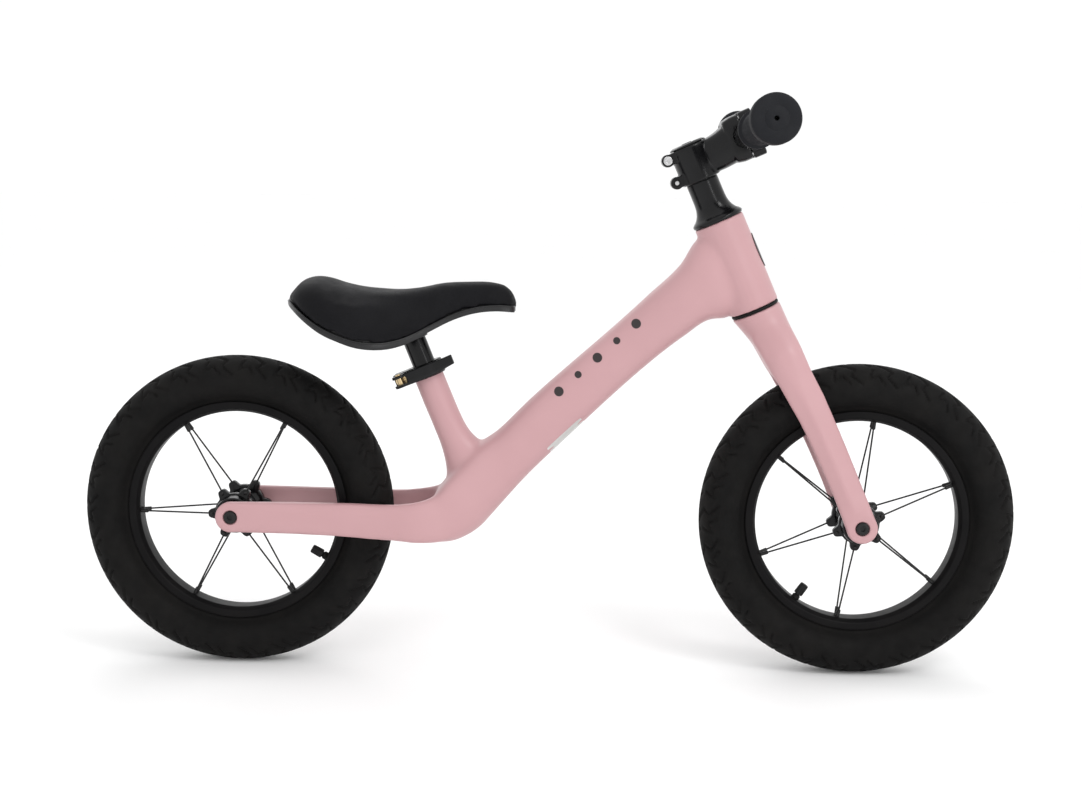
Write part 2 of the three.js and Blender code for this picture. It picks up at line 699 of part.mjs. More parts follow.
function saddleStations() {
  const count = 13;
  const middle = (SADDLE_TAIL + SADDLE_NOSE) / 2;
  const half = (SADDLE_NOSE - SADDLE_TAIL) / 2;
  return Array.from({ length: count }, (_, i) => {
    const x = middle - half * Math.cos((Math.PI * i) / (count - 1));
    const crown = curveAt(CROWN, x);
    const edge = Math.min(curveAt(LOWER_EDGE, x), crown - 5);
    return { x, crown, edge, halfWidth: curveAt(HALF_WIDTH, x) };
  });
}

// Points over an arch from the right edge to the left one, under a pad and a clearance.
function arch({ x, crown, edge, halfWidth }, foot, thickness, clearance = 0) {
  const steps = 7;
  const padSide = Math.min(thickness * 0.5, halfWidth * 0.35);
  const padTop = Math.min(thickness, (crown - edge) * 0.4);
  const wide = Math.max(halfWidth - padSide - clearance, 1);
  const high = Math.max(crown - edge - foot - padTop - clearance, 0.4);
  return Array.from({ length: steps + 1 }, (_, i) => {
    const angle = (Math.PI * i) / steps;
    const y = -wide * Math.sign(Math.cos(angle)) * Math.abs(Math.cos(angle)) ** 0.8;
    return at(x, y, edge + foot + high * Math.sin(angle) ** 0.85);
  });
}

const PAD_THICKNESS = 12;
const SHELL_THICKNESS = 3.2;
const stations = saddleStations();
const seamHeight = ({ crown, edge }) => Math.min(SHELL_BAND, (crown - edge) * 0.35);

function saddlePad() {
  return loft(
    stations.map((s) => {
      const foot = seamHeight(s);
      return [...arch(s, foot, 0), ...arch(s, foot, PAD_THICKNESS).reverse()];
    }),
  );
}

function saddleShell() {
  const rings = stations.map((s) => {
    const foot = seamHeight(s) - GAP;
    const outer = arch(s, foot, PAD_THICKNESS, 2 * GAP).reverse();
    const inner = arch(s, 0, PAD_THICKNESS, 2 * GAP + SHELL_THICKNESS);
    const lip = s.halfWidth * 0.99;
    return [at(s.x, -lip, s.edge), ...inner, at(s.x, lip, s.edge),
      at(s.x, s.halfWidth, s.edge + foot), ...outer, at(s.x, -s.halfWidth, s.edge + foot)];
  });
  const under = loft(
    stations.map((s) => {
      const roof = arch(s, seamHeight(s) - GAP, PAD_THICKNESS, 2 * GAP).reverse();
      return [...roof, at(s.x, roof.at(-1).y, 200), at(s.x, roof[0].y, 200)];
    }),
  );
  const socket = rod(seatPoint(0, 0, 36.5), seatPoint(0, 0, 90), 14, 14);
  const postHole = rod(
    seatPoint(0, 0, 20),
    seatPoint(0, 0, POST_TOP + GAP),
    SEAT_POST_RADIUS + 2 * GAP,
    14,
  );
  return cut(join(loft(rings), socket.intersect(under)), postHole);
}

addPart(bike, "saddle_pad", saddlePad(), SADDLE_COVER);
addPart(bike, "saddle_shell", saddleShell(), PLASTIC);

// ---------------------------------------------------------------- wheels, each about its own hub centre

const WHEEL_SIDES = 24;
const HUB_FLANGE = 22; // from the middle of the hub to the middle of a flange
const LOBE_RADIUS = 26;
const VALLEY_RADIUS = 20;
const SPOKE_INNER = LOBE_RADIUS + GAP;
const SPOKE_OUTER = 102.2;
const SPOKE_SIDE_AT_RIM = 3.2;

const polar = (degrees, radius, y) =>
  at(radius * Math.cos(radians(degrees)), y, radius * Math.sin(radians(degrees)));

function spokePoint(degrees, side, radius) {
  const share = (radius - SPOKE_INNER) / (SPOKE_OUTER - SPOKE_INNER);
  return polar(degrees, radius, side * THREE.MathUtils.lerp(HUB_FLANGE, SPOKE_SIDE_AT_RIM, share));
}

const SPOKE_STEP = 360 / SPOKES_PER_SIDE;
const spokeAngles = (phase) => Array.from({ length: SPOKES_PER_SIDE }, (_, i) => phase + i * SPOKE_STEP);

function spokeHoles(phase, from, to, radius) {
  const hole = (angle, side) =>
    rod(spokePoint(angle, side, from), spokePoint(angle, side, to), radius, 5);
  return spokeAngles(phase).flatMap((angle) => [hole(angle, -1), hole(angle, 1)]);
}

function tyre() {
  const half = [
    [102, 10.3], [111, 10.8], [118.5, 22.5], [128, 25], [141, 21], [TYRE_RADIUS, 6],
  ];
  const inside = [[147.4, 5.5], [137, 19.5], [118, 19.5], [111.5, 7.4], [102, 7.4]];
  const right = half.map(([r, y]) => [r, -y]);
  const insideRight = inside.map(([r, y]) => [r, -y]).reverse();
  return solid(turnedAboutY([...half, ...right.reverse(), ...insideRight, ...inside], WHEEL_SIDES));
}

function rim(phase, valveAngle) {
  const half = [[97.3, 8.5], [100.6, 13], [107.5, 13], [107.5, 11.2], [101.3, 10.9], [99.6, 7.8]];
  const right = half.map(([r, y]) => [r, -y]).reverse();
  const ring = solid(turnedAboutY([...half, ...right], WHEEL_SIDES));
  const valveHole = rod(polar(valveAngle, 90, 0), polar(valveAngle, 104, 0), 4.3, 8);
  return cut(ring, valveHole, ...spokeHoles(phase, 92, SPOKE_OUTER + 3, 2.7));
}

function innerTube(valveAngle) {
  const torus = (radius) => solid(new THREE.TorusGeometry(127, radius, 6, 16).rotateX(Math.PI / 2));
  const stem = join(
    rod(polar(valveAngle, 114, 0), polar(valveAngle, 93, 0), 3.9, 8),
    rod(polar(valveAngle, 94, 0), polar(valveAngle, 84, 0), 2.6, 8),
  );
  const airway = rod(polar(valveAngle, 70, 0), polar(valveAngle, 118, 0), 1.2, 5);
  return cut(join(torus(16.5), stem), torus(15.3), airway);
}

function valveCap(valveAngle) {
  const cap = rod(polar(valveAngle, 80.5, 0), polar(valveAngle, 92.6, 0), 3.9, 10, 4.4);
  return cut(cap, rod(polar(valveAngle, 83.2, 0), polar(valveAngle, 99, 0), 2.9, 10));
}

// A flange with six lobes, facing along Y.
function lobedFlange(phase, side) {
  const shape = new THREE.Shape();
  const outline = spokeAngles(phase).flatMap((angle) => [
    [angle - 12, LOBE_RADIUS],
    [angle + 12, LOBE_RADIUS],
    [angle + SPOKE_STEP / 2, VALLEY_RADIUS],
  ]);
  shape.setFromPoints(
    outline.map(([angle, r]) => {
      const point = polar(angle, r, 0);
      return new THREE.Vector2(point.x, point.z);
    }),
  );
  const geometry = new THREE.ExtrudeGeometry(shape, { depth: 7, bevelEnabled: false });
  geometry.rotateX(Math.PI / 2).translate(0, side * HUB_FLANGE + 3.5, 0);
  return solid(geometry);
}

function hubShell(phase) {
  const half = [[7, 27.7], [14, 27.7], [14, 35.7], [17, 35.7], [18.4, 19.5], [13, 12]];
  const right = half.map(([r, y]) => [r, -y]).reverse();
  const barrel = solid(turnedAboutY([...half, ...right], 16));
  const middle = rod(at(0, -60, 0), at(0, 60, 0), 15.5, 12);
  const flanges = [-1, 1].map((side) => cut(lobedFlange(phase, side), middle));
  return join(barrel, ...flanges);
}

// Two spokes that meet at one place on the rim, with their nipples on one double seat.
function spokePair(angle) {
  const across = polar(angle, 1, 0).cross(Y_AXIS);
  const pieces = [-1, 1].map((side) => {
    const foot = spokePoint(angle, side, SPOKE_INNER);
    const beside = spokePoint(angle, side, SPOKE_OUTER).sub(foot).normalize().cross(across);
    const stations = [[SPOKE_INNER, 1.1], [90, 1.1], [90.4, 1.8], [SPOKE_OUTER, 1.8]];
    return loft(
      stations.map(([distance, radius]) =>
        roundedRing(spokePoint(angle, side, distance), across, beside, radius, radius, 2, 4),
      ),
    );
  });
  const doubleSeat = rod(polar(angle, SPOKE_OUTER, -5.6), polar(angle, SPOKE_OUTER, 5.6), 2.3, 4);
  return join(doubleSeat, ...pieces);
}

const AXLE_HALF = HUB_WIDTH / 2 - BOSS_HEIGHT - GAP;

function axle() {
  const shaft = rod(at(0, -AXLE_HALF, 0), at(0, AXLE_HALF, 0), 6, 12);
  const threads = [-1, 1].map((side) => rod(at(0, side * 16, 0), at(0, side * 50, 0), 3, 8));
  return cut(shaft, ...threads);
}

function axleBolt(side) {
  const head = at(0, side * (OUTER_FACE - COUNTERBORE_DEPTH + GAP), 0);
  return bolt(head, at(0, side, 0), 24, 2.7, 6.2, 3.3);
}

function addWheel(group, end, phase, valveAngle) {
  addPart(group, `${end}_tyre`, tyre(), TYRE_RUBBER);
  addPart(group, `${end}_inner_tube`, innerTube(valveAngle), GRIP_RUBBER);
  addPart(group, `${end}_valve_cap`, valveCap(valveAngle), PLASTIC);
  addPart(group, `${end}_rim`, rim(phase, valveAngle), RIM_BLACK);
  addPart(group, `${end}_hub_shell`, hubShell(phase), BLACK_ALLOY);
  spokeAngles(phase).forEach((angle, i) => {
    addPart(group, `${end}_spoke_pair_${i + 1}`, spokePair(angle), BLACK_STEEL);
  });
  addPart(group, `${end}_axle`, axle(), STEEL);
  for (const [name, side] of [["right", -1], ["left", 1]]) {
    const low = side > 0 ? 28 : -35.7;
    const ring = turnedAboutY(sleeve(6.35, 13.7, low, low + 7.7), 14);
    addPart(group, `${end}_hub_bearing_${name}`, solid(ring), STEEL);
    addPart(group, `${end}_axle_bolt_${name}`, axleBolt(side), BLACK_STEEL);
  }
}

addWheel(rearWheel, "rear", REAR_SPOKE_PHASE, REAR_VALVE_ANGLE);
addWheel(frontWheel, "front", FRONT_SPOKE_PHASE, FRONT_VALVE_ANGLE);

export default bike;
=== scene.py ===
import json
import math

import bmesh
import bpy
import numpy as np
from mathutils import Matrix, Vector
from mathutils.bvhtree import BVHTree


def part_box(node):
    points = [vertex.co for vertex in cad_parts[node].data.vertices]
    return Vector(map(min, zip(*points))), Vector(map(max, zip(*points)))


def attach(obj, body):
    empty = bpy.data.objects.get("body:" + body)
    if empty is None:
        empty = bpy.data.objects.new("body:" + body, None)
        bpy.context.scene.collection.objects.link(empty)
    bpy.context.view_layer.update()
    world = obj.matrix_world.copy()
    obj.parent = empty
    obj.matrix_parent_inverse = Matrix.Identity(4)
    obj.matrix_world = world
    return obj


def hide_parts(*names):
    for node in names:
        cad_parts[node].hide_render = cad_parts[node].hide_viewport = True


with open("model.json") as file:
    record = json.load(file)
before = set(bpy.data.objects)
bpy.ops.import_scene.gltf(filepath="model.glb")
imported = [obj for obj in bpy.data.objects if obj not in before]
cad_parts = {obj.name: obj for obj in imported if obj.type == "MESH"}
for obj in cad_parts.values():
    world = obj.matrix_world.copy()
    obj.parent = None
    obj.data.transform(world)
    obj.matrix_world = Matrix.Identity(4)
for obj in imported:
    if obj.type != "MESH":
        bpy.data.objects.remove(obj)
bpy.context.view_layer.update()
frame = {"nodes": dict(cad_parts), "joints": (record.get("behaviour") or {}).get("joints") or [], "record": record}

SCENE = bpy.context.scene
MM = 0.001  # shapes are written in millimetres


# ---------------------------------------------------------------- camera, light and floor

def add_camera():
    """A camera at the height and angle from which the bike is looked at."""
    yaw, pitch, roll = -0.0362, 0.1341, 0.01055
    place = (0.04955, -1.52878, 0.47655)
    ahead = Vector((math.sin(yaw) * math.cos(pitch), math.cos(yaw) * math.cos(pitch), -math.sin(pitch)))
    level = Vector((math.cos(yaw), -math.sin(yaw), 0))
    above = level.cross(ahead)
    right = math.cos(roll) * level + math.sin(roll) * above
    up = math.cos(roll) * above - math.sin(roll) * level
    data = bpy.data.cameras.new("camera")
    data.lens, data.sensor_width = 53.066, 36
    camera = bpy.data.objects.new("camera", data)
    SCENE.collection.objects.link(camera)
    rows = [(right[k], up[k], -ahead[k], place[k]) for k in range(3)]
    camera.matrix_world = Matrix([*rows, (0, 0, 0, 1)])
    SCENE.camera = camera


def add_light(name, place, target, size, power, height=None):
    data = bpy.data.lights.new(name, "AREA")
    data.shape, data.size, data.energy = "DISK" if height is None else "RECTANGLE", size, power
    data.size_y = height or size
    light = bpy.data.objects.new(name, data)
    SCENE.collection.objects.link(light)
    light.location = place
    light.rotation_euler = (Vector(target) - Vector(place)).to_track_quat("-Z", "Y").to_euler()


def add_studio():
    """A wide pale floor under a white sky, with large soft lamps."""
    world = bpy.data.worlds.new("studio")
    world.use_nodes = True
    SCENE.world = world
    sky = world.node_tree.nodes["Background"].inputs
    sky["Color"].default_value, sky["Strength"].default_value = (1, 1, 1, 1), 1.03
    middle = (0, 0, 0.25)
    add_light("key", (1.3, -1.5, 2.2), middle, 1.0, 17)
    add_light("strip", (1.35, -1.75, 0.6), middle, 0.12, 4.5, 1.5)
    add_light("back", (-0.8, 2.1, 2.0), middle, 1.4, 8)
    SCENE.view_settings.view_transform = "Standard"
    reach = np.array((0.002, 0.5, 1, 2, 4, 8, 16, 40)) / MM
    floor = as_object("floor", [turned([(r, 0) for r in reach], sides=96, capped=False)])
    floor.data.materials.append(LOOKS["floor"])
    smooth(floor, 60)


# ---------------------------------------------------------------- shapes, as (points, faces) in millimetres

def unit(v):
    v = np.asarray(v, float)
    return v / np.linalg.norm(v)


def axes_at(origin, up):
    """A frame of reference with +Z along up and +Y to the rider's left."""
    z, y = unit(up), np.array((0.0, 1.0, 0.0))
    matrix = np.eye(4)
    matrix[:3, 0], matrix[:3, 1], matrix[:3, 2], matrix[:3, 3] = np.cross(y, z), y, z, origin
    return matrix


def placed(shell, axes):
    points, faces = shell
    return (points, faces) if axes is None else (points @ axes[:3, :3].T + axes[:3, 3], faces)


def skin(rings, loop=False, capped=True):
    """Faces over rings of points that all have the same count."""
    rings = np.asarray(rings, float)
    count, around = rings.shape[:2]
    faces = []
    for r in range(count if loop else count - 1):
        a, b = r * around, ((r + 1) % count) * around
        faces += [(a + i, a + (i + 1) % around, b + (i + 1) % around, b + i) for i in range(around)]
    if capped and not loop:
        faces += [tuple(range(around)), tuple(reversed(range((count - 1) * around, count * around)))]
    return rings.reshape(-1, 3), faces


def turned(profile, origin=(0, 0, 0), axis=(0, 0, 1), sides=64, loop=False, capped=True):
    """A profile of (radius, distance) points turned about an axis. A third value, "hex", makes six sides."""
    axis = unit(axis)
    across = unit(np.cross(axis, (0, 1, 0) if abs(axis[1]) < 0.9 else (1, 0, 0)))
    other = np.cross(axis, across)
    angle = 2 * np.pi * np.arange(sides) / sides
    six = np.cos(np.pi / 6) / np.cos((angle + np.pi / 6) % (np.pi / 3) - np.pi / 6)
    circle = np.outer(np.cos(angle), across) + np.outer(np.sin(angle), other)
    rings = []
    for radius, distance, *kind in profile:
        size = radius * six if kind else np.full(sides, radius)
        rings.append(np.asarray(origin, float) + axis * distance + circle * size[:, None])
    return skin(rings, loop, capped)


def rod(start, end, radius, end_radius=None, edge=0.0, sides=48):
    """A round bar with eased ends."""
    start, end = np.asarray(start, float), np.asarray(end, float)
    length = np.linalg.norm(end - start)
    end_radius = radius if end_radius is None else end_radius
    profile = [(radius, 0), (end_radius, length)]
    if edge:
        profile = eased([(0.01, 0), (radius, 0), (end_radius, length), (0.01, length)], edge, loop=False)
    return turned(profile, start, end - start, sides)


def eased(points, radius, loop=True, steps=4):
    """The points with each corner rounded off."""
    points = [np.asarray(p[:2], float) for p in points]
    out = []
    for i, p in enumerate(points):
        if not loop and i in (0, len(points) - 1):
            out.append(tuple(p))
            continue
        before, after = points[i - 1] - p, points[(i + 1) % len(points)] - p
        a, b = np.linalg.norm(before), np.linalg.norm(after)
        d = min(radius, 0.45 * a, 0.45 * b)
        one, two = p + before / a * d, p + after / b * d
        for t in np.linspace(0, 1, steps):
            out.append(tuple((1 - t) ** 2 * one + 2 * t * (1 - t) * p + t * t * two))
    return out


def ring(centre, right, up, half_right, half_up, power=2.0, count=48):
    """A ring with rounded sides: power 2 is an ellipse, and a larger one is squarer."""
    angle = 2 * np.pi * (np.arange(count) + 0.5) / count
    c, s = np.cos(angle), np.sin(angle)
    a = half_right * np.sign(c) * np.abs(c) ** (2 / power)
    b = half_up * np.sign(s) * np.abs(s) ** (2 / power)
    return np.asarray(centre, float) + np.outer(a, right) + np.outer(b, up)


def block(low, high, edge=0.0):
    """A box; edge eases the four corners that run along X."""
    (x0, y0, z0), (x1, y1, z1) = low, high
    outline = [(y0, z0), (y1, z0), (y1, z1), (y0, z1)]
    if edge:
        outline = eased(outline, edge)
    return skin([[(x, y, z) for y, z in outline] for x in (x0, x1)])


def smooth_curve(t, values, at):
    """Smooth curves through values known at t, read at other places."""
    t, values, at = np.asarray(t, float), np.asarray(values, float), np.asarray(at, float)
    values = values.reshape(len(t), -1)
    slope = np.gradient(values, t, axis=0)
    i = np.clip(np.searchsorted(t, at, "right") - 1, 0, len(t) - 2)
    run = (t[i + 1] - t[i])[:, None]
    s = np.clip((at - t[i])[:, None] / run, 0, 1)
    a = 2 * s**3 - 3 * s**2 + 1
    return (
        a * values[i]
        + (1 - a) * values[i + 1]
        + run * ((s**3 - 2 * s**2 + s) * slope[i] + (s**3 - s**2) * slope[i + 1])
    )


def finer(stations, count, columns=2):
    """Stations read at many places, spaced by the distance in their first columns."""
    s = np.asarray(stations, float)
    t = np.concatenate([[0], np.cumsum(np.linalg.norm(np.diff(s[:, :columns], axis=0), axis=1))])
    return smooth_curve(t, s, np.linspace(0, t[-1], count))


# ---------------------------------------------------------------- meshes

def as_object(name, shells):
    """One mesh object from shells, with its faces turned outwards."""
    points, faces, start = [], [], 0
    for shell_points, shell_faces in shells:
        points.append(shell_points)
        faces += [tuple(i + start for i in face) for face in shell_faces]
        start += len(shell_points)
    mesh = bpy.data.meshes.new(name)
    mesh.from_pydata((np.vstack(points) * MM).tolist(), [], faces)
    work = bmesh.new()
    work.from_mesh(mesh)
    bmesh.ops.recalc_face_normals(work, faces=work.faces)
    work.to_mesh(mesh)
    work.free()
    made = bpy.data.objects.new(name, mesh)
    SCENE.collection.objects.link(made)
    return made


def apply_modifiers(obj):
    view = bpy.context.evaluated_depsgraph_get()
    mesh = bpy.data.meshes.new_from_object(obj.evaluated_get(view))
    obj.modifiers.clear()
    old, obj.data = obj.data, mesh
    bpy.data.meshes.remove(old)


def points_of(obj):
    flat = np.zeros(len(obj.data.vertices) * 3)
    obj.data.vertices.foreach_get("co", flat)
    return flat.reshape(-1, 3)


def set_points(obj, points):
    obj.data.vertices.foreach_set("co", np.asarray(points, float).ravel())
    obj.data.update()


def relax(obj, melt, polish=0, where=None):
    """Melts edges a little, then polishes without shrinking. where weighs each point, from 0 to 1."""
    edges = np.zeros(len(obj.data.edges) * 2, int)
    obj.data.edges.foreach_get("vertices", edges)
    a, b = edges.reshape(-1, 2).T
    points = points_of(obj)
    count = np.maximum(np.bincount(np.concatenate([a, b]), minlength=len(points)), 1)
    weight = 1.0 if where is None else where(points / MM)[:, None]
    for share in [0.5] * melt + [0.5, -0.52] * polish:
        mean = np.stack(
            [
                np.bincount(a, points[b, k], len(points)) + np.bincount(b, points[a, k], len(points))
                for k in range(3)
            ],
            axis=1,
        ) / count[:, None]
        points += share * weight * (mean - points)
    set_points(obj, points)


def recast(obj, voxel, melt, polish):
    """One even skin in place of all that passes through itself, with softened edges."""
    remesh = obj.modifiers.new("skin", "REMESH")
    remesh.mode, remesh.voxel_size = "VOXEL", voxel * MM
    apply_modifiers(obj)
    relax(obj, melt, polish)


def fuse(name, shells, axes, voxel, melt, polish=4):
    """One smooth cast skin round shells that pass through each other."""
    obj = as_object(name, [placed(shell, axes) for shell in shells])
    recast(obj, voxel, melt, polish)
    return obj


def carve(obj, axes, *tools):
    """Cuts shells out of an object, one after another."""
    for shell in tools:
        tool = as_object("tool", [placed(shell, axes)])
        cut = obj.modifiers.new("cut", "BOOLEAN")
        cut.operation, cut.solver, cut.object = "DIFFERENCE", "EXACT", tool
        apply_modifiers(obj)
        bpy.data.objects.remove(tool)
    return obj


def smooth(obj, angle=38):
    obj.data.polygons.foreach_set("use_smooth", [True] * len(obj.data.polygons))
    obj.data.set_sharp_from_angle(angle=math.radians(angle))


BODY_OF = {node: body for body, nodes in frame["record"]["behaviour"]["bodies"].items() for node in nodes}


def piece(obj, slot, nodes, angle=38, body=None, look=None):
    """Finishes a piece: its look, the body that it rides on and the CAD nodes that it stands for."""
    obj.data.materials.clear()
    obj.data.materials.append(LOOKS[look or slot])
    smooth(obj, angle)
    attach(obj, body or BODY_OF[nodes[0]])
    if nodes:
        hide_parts(*nodes)
    return obj


def add_piece(name, shells, axes, slot, nodes, angle=38, **more):
    """A piece made straight from shells."""
    return piece(as_object(name, [placed(shell, axes) for shell in shells]), slot, nodes, angle, **more)


# ---------------------------------------------------------------- materials

class Look:
    """One procedural material. Its coordinates are the piece's own, in metres."""

    def __init__(self, name):
        self.material = bpy.data.materials.new(name)
        self.material.use_nodes = True
        self.tree = self.material.node_tree
        self.shader = self.tree.nodes["Principled BSDF"]
        self.place = self.add("ShaderNodeTexCoord").outputs["Object"]

    def add(self, kind, **settings):
        node = self.tree.nodes.new(kind)
        for key, value in settings.items():
            setattr(node, key, value)
        return node

    def link(self, source, target):
        self.tree.links.new(source, target)

    def noise(self, scale, detail=4.0, stretch=None):
        node = self.add("ShaderNodeTexNoise")
        node.inputs["Scale"].default_value = scale
        node.inputs["Detail"].default_value = detail
        node.inputs["Roughness"].default_value = 0.55
        place = self.place
        if stretch:
            mapping = self.add("ShaderNodeMapping")
            mapping.inputs["Scale"].default_value = stretch
            self.link(place, mapping.inputs["Vector"])
            place = mapping.outputs["Vector"]
        self.link(place, node.inputs["Vector"])
        return node.outputs["Fac"]

    def cells(self, scale, feature="F1"):
        node = self.add("ShaderNodeTexVoronoi", feature=feature)
        node.inputs["Scale"].default_value = scale
        self.link(self.place, node.inputs["Vector"])
        return node.outputs["Distance"]

    def span(self, source, low, high, to_low=0.0, to_high=1.0):
        node = self.add("ShaderNodeMapRange")
        for key, value in (("From Min", low), ("From Max", high), ("To Min", to_low), ("To Max", to_high)):
            node.inputs[key].default_value = value
        self.link(source, node.inputs["Value"])
        return node.outputs["Result"]

    def sum(self, a, b, share=1.0):
        node = self.add("ShaderNodeMath", operation="MULTIPLY_ADD")
        self.link(b, node.inputs[0])
        node.inputs[1].default_value = share
        self.link(a, node.inputs[2])
        return node.outputs[0]

    def blend(self, factor, one, two):
        node = self.add("ShaderNodeMix", data_type="RGBA")
        self.link(factor, node.inputs[0])
        for value, socket in ((one, node.inputs[6]), (two, node.inputs[7])):
            if isinstance(value, tuple):
                socket.default_value = (*value, 1)
            else:
                self.link(value, socket)
        return node.outputs[2]

    def edges(self, low, high):
        """1 along convex edges, 0 elsewhere."""
        return self.span(self.add("ShaderNodeNewGeometry").outputs["Pointiness"], low, high)

    def bump(self, height, depth, strength=1.0):
        node = self.add("ShaderNodeBump")
        node.inputs["Distance"].default_value = depth
        node.inputs["Strength"].default_value = strength
        self.link(height, node.inputs["Height"])
        self.link(node.outputs["Normal"], self.shader.inputs["Normal"])

    def set(self, **values):
        for key, value in values.items():
            self.shader.inputs[key.replace("_", " ")].default_value = value


def coated(name, base, tint, edge, rough, cloud, grain, depth, **values):
    """Paint, anodising or moulded plastic: clouds of colour, rubbed edges, uneven gloss and a fine grain."""
    look = Look(name)
    patches = look.noise(cloud, 3)
    colour = look.blend(look.span(patches, 0.35, 0.68), base, tint)
    rubbed = look.span(look.sum(look.edges(0.52, 0.6), look.noise(260, 3), 0.6), 0.9, 1.5)
    look.link(look.blend(rubbed, colour, edge), look.shader.inputs["Base Color"])
    marks = look.sum(look.noise(cloud * 5, 5), look.noise(cloud * 0.6, 2), 0.6)
    look.link(look.span(marks, 0.5, 1.1, *rough), look.shader.inputs["Roughness"])
    look.bump(look.sum(look.noise(grain, 2), look.noise(grain * 0.25, 1), 0.5), depth)
    look.set(**values)
    return look.material


def metal(name, base, tint, rough, stretch, depth, **values):
    """Bare or blackened metal with fine drawn lines and small blotches."""
    look = Look(name)
    lines = look.noise(900, 3, stretch)
    colour = look.blend(look.span(look.noise(130, 4), 0.35, 0.7), base, tint)
    look.link(colour, look.shader.inputs["Base Color"])
    marks = look.sum(lines, look.noise(240, 4), 0.7)
    look.link(look.span(marks, 0.5, 1.2, *rough), look.shader.inputs["Roughness"])
    look.bump(lines, depth)
    look.set(**values)
    return look.material


def rubber(name, base, dust, rough, grain, depth, **values):
    """Rubber with a fine grain and a little dust in clouds and in its hollows."""
    look = Look(name)
    clouds = look.span(look.sum(look.noise(38, 5), look.noise(7, 2), 0.5), 0.55, 1.0)
    hollow = look.span(look.add("ShaderNodeNewGeometry").outputs["Pointiness"], 0.5, 0.44)
    where = look.sum(clouds, hollow, 0.6)
    look.link(look.blend(look.span(where, 0.1, 1.5), base, dust), look.shader.inputs["Base Color"])
    look.link(look.span(look.noise(90, 5), 0.3, 0.7, *rough), look.shader.inputs["Roughness"])
    look.bump(look.sum(look.cells(grain), look.noise(grain * 0.4, 3), 0.7), depth)
    look.set(**values)
    return look.material


def vinyl(name):
    """Pressed leathercloth: a net of fine creases over a soft skin, with painted shade darkening the creases."""
    look = Look(name)
    creases = look.span(look.cells(820, "DISTANCE_TO_EDGE"), 0.0, 0.16)
    clouds = look.span(look.noise(28, 4), 0.35, 0.7)
    colour = look.blend(clouds, (0.0062, 0.0062, 0.0076), (0.0100, 0.0100, 0.0118))
    # painted shade: the crease lines are coloured darker, standing in for the shade that falls in them
    low = look.blend(creases, (0.0045, 0.0045, 0.0052), colour)
    rubbed = look.span(look.edges(0.51, 0.58), 0.0, 1.0, 0.0, 0.35)
    look.link(look.blend(rubbed, low, (0.017, 0.017, 0.019)), look.shader.inputs["Base Color"])
    look.link(look.span(look.noise(75, 4), 0.3, 0.7, 0.48, 0.6), look.shader.inputs["Roughness"])
    look.bump(look.sum(look.noise(46, 3), creases, 0.5), 0.00022, 0.5)
    look.set(Specular_IOR_Level=0.09)
    return look.material


def make_looks():
    looks = {"saddle_cover": vinyl("saddle_cover")}

    def add(maker, name, *shape, **values):
        looks[name] = maker(name, *shape, **values)

    add(
        coated, "pink_paint", (0.500, 0.288, 0.302), (0.530, 0.309, 0.324), (0.62, 0.41, 0.42),
        (0.36, 0.47), 9, 1500, 0.00004, Specular_IOR_Level=0.4, Coat_Weight=0.1, Coat_Roughness=0.28,
    )
    add(
        coated, "black_alloy", (0.0022, 0.0022, 0.0026), (0.0045, 0.0045, 0.0052), (0.018, 0.018, 0.019),
        (0.15, 0.24), 30, 2200, 0.00003, Specular_IOR_Level=0.24, Coat_Weight=0.04, Coat_Roughness=0.1,
    )
    add(
        coated, "rim_alloy", (0.0030, 0.0028, 0.0032), (0.0055, 0.0050, 0.0052), (0.016, 0.015, 0.015),
        (0.32, 0.46), 24, 1600, 0.00004, Specular_IOR_Level=0.1,
    )
    add(
        rubber, "tyre_rubber", (0.0042, 0.0040, 0.0040), (0.0090, 0.0082, 0.0076),
        (0.62, 0.8), 1400, 0.00009, Specular_IOR_Level=0.12,
    )
    add(
        rubber, "tube_rubber", (0.005, 0.005, 0.005), (0.010, 0.0095, 0.009),
        (0.5, 0.66), 1900, 0.00005, Specular_IOR_Level=0.16,
    )
    add(
        rubber, "grip_rubber", (0.0100, 0.0106, 0.0130), (0.0165, 0.0170, 0.0195),
        (0.6, 0.76), 1700, 0.00008, Specular_IOR_Level=0.16,
    )
    add(
        metal, "steel", (0.50, 0.50, 0.51), (0.62, 0.62, 0.62),
        (0.2, 0.36), (1, 1, 9), 0.00003, Metallic=1.0,
    )
    add(
        metal, "black_steel", (0.006, 0.006, 0.0065), (0.012, 0.0115, 0.0115),
        (0.3, 0.44), (1, 1, 8), 0.00003, Specular_IOR_Level=0.3,
    )
    add(
        metal, "brass", (0.56, 0.42, 0.23), (0.68, 0.53, 0.31),
        (0.2, 0.36), (8, 1, 1), 0.00003, Metallic=1.0,
    )
    add(
        coated, "shell_plastic", (0.0060, 0.0060, 0.0068), (0.0095, 0.0095, 0.0105), (0.03, 0.03, 0.032),
        (0.24, 0.36), 26, 1300, 0.00006, Specular_IOR_Level=0.4,
    )
    add(
        coated, "cap_plastic", (0.0050, 0.0050, 0.0054), (0.0085, 0.0085, 0.0090), (0.028, 0.028, 0.029),
        (0.42, 0.56), 40, 1500, 0.00006, Specular_IOR_Level=0.25,
    )
    add(
        coated, "ink", (0.022, 0.016, 0.017), (0.032, 0.024, 0.025), (0.08, 0.06, 0.06),
        (0.34, 0.46), 30, 1500, 0.00003, Specular_IOR_Level=0.42,
    )
    add(
        coated, "label", (0.60, 0.59, 0.575), (0.66, 0.65, 0.635), (0.74, 0.73, 0.72),
        (0.3, 0.42), 30, 1500, 0.00003, Specular_IOR_Level=0.42, Metallic=0.5,
    )
    add(
        coated, "floor", (0.97, 0.97, 0.97), (0.985, 0.985, 0.985), (0.98, 0.98, 0.98),
        (0.75, 0.85), 2, 300, 0.00001, Specular_IOR_Level=0.1,
    )
    return looks


# ---------------------------------------------------------------- frames of reference

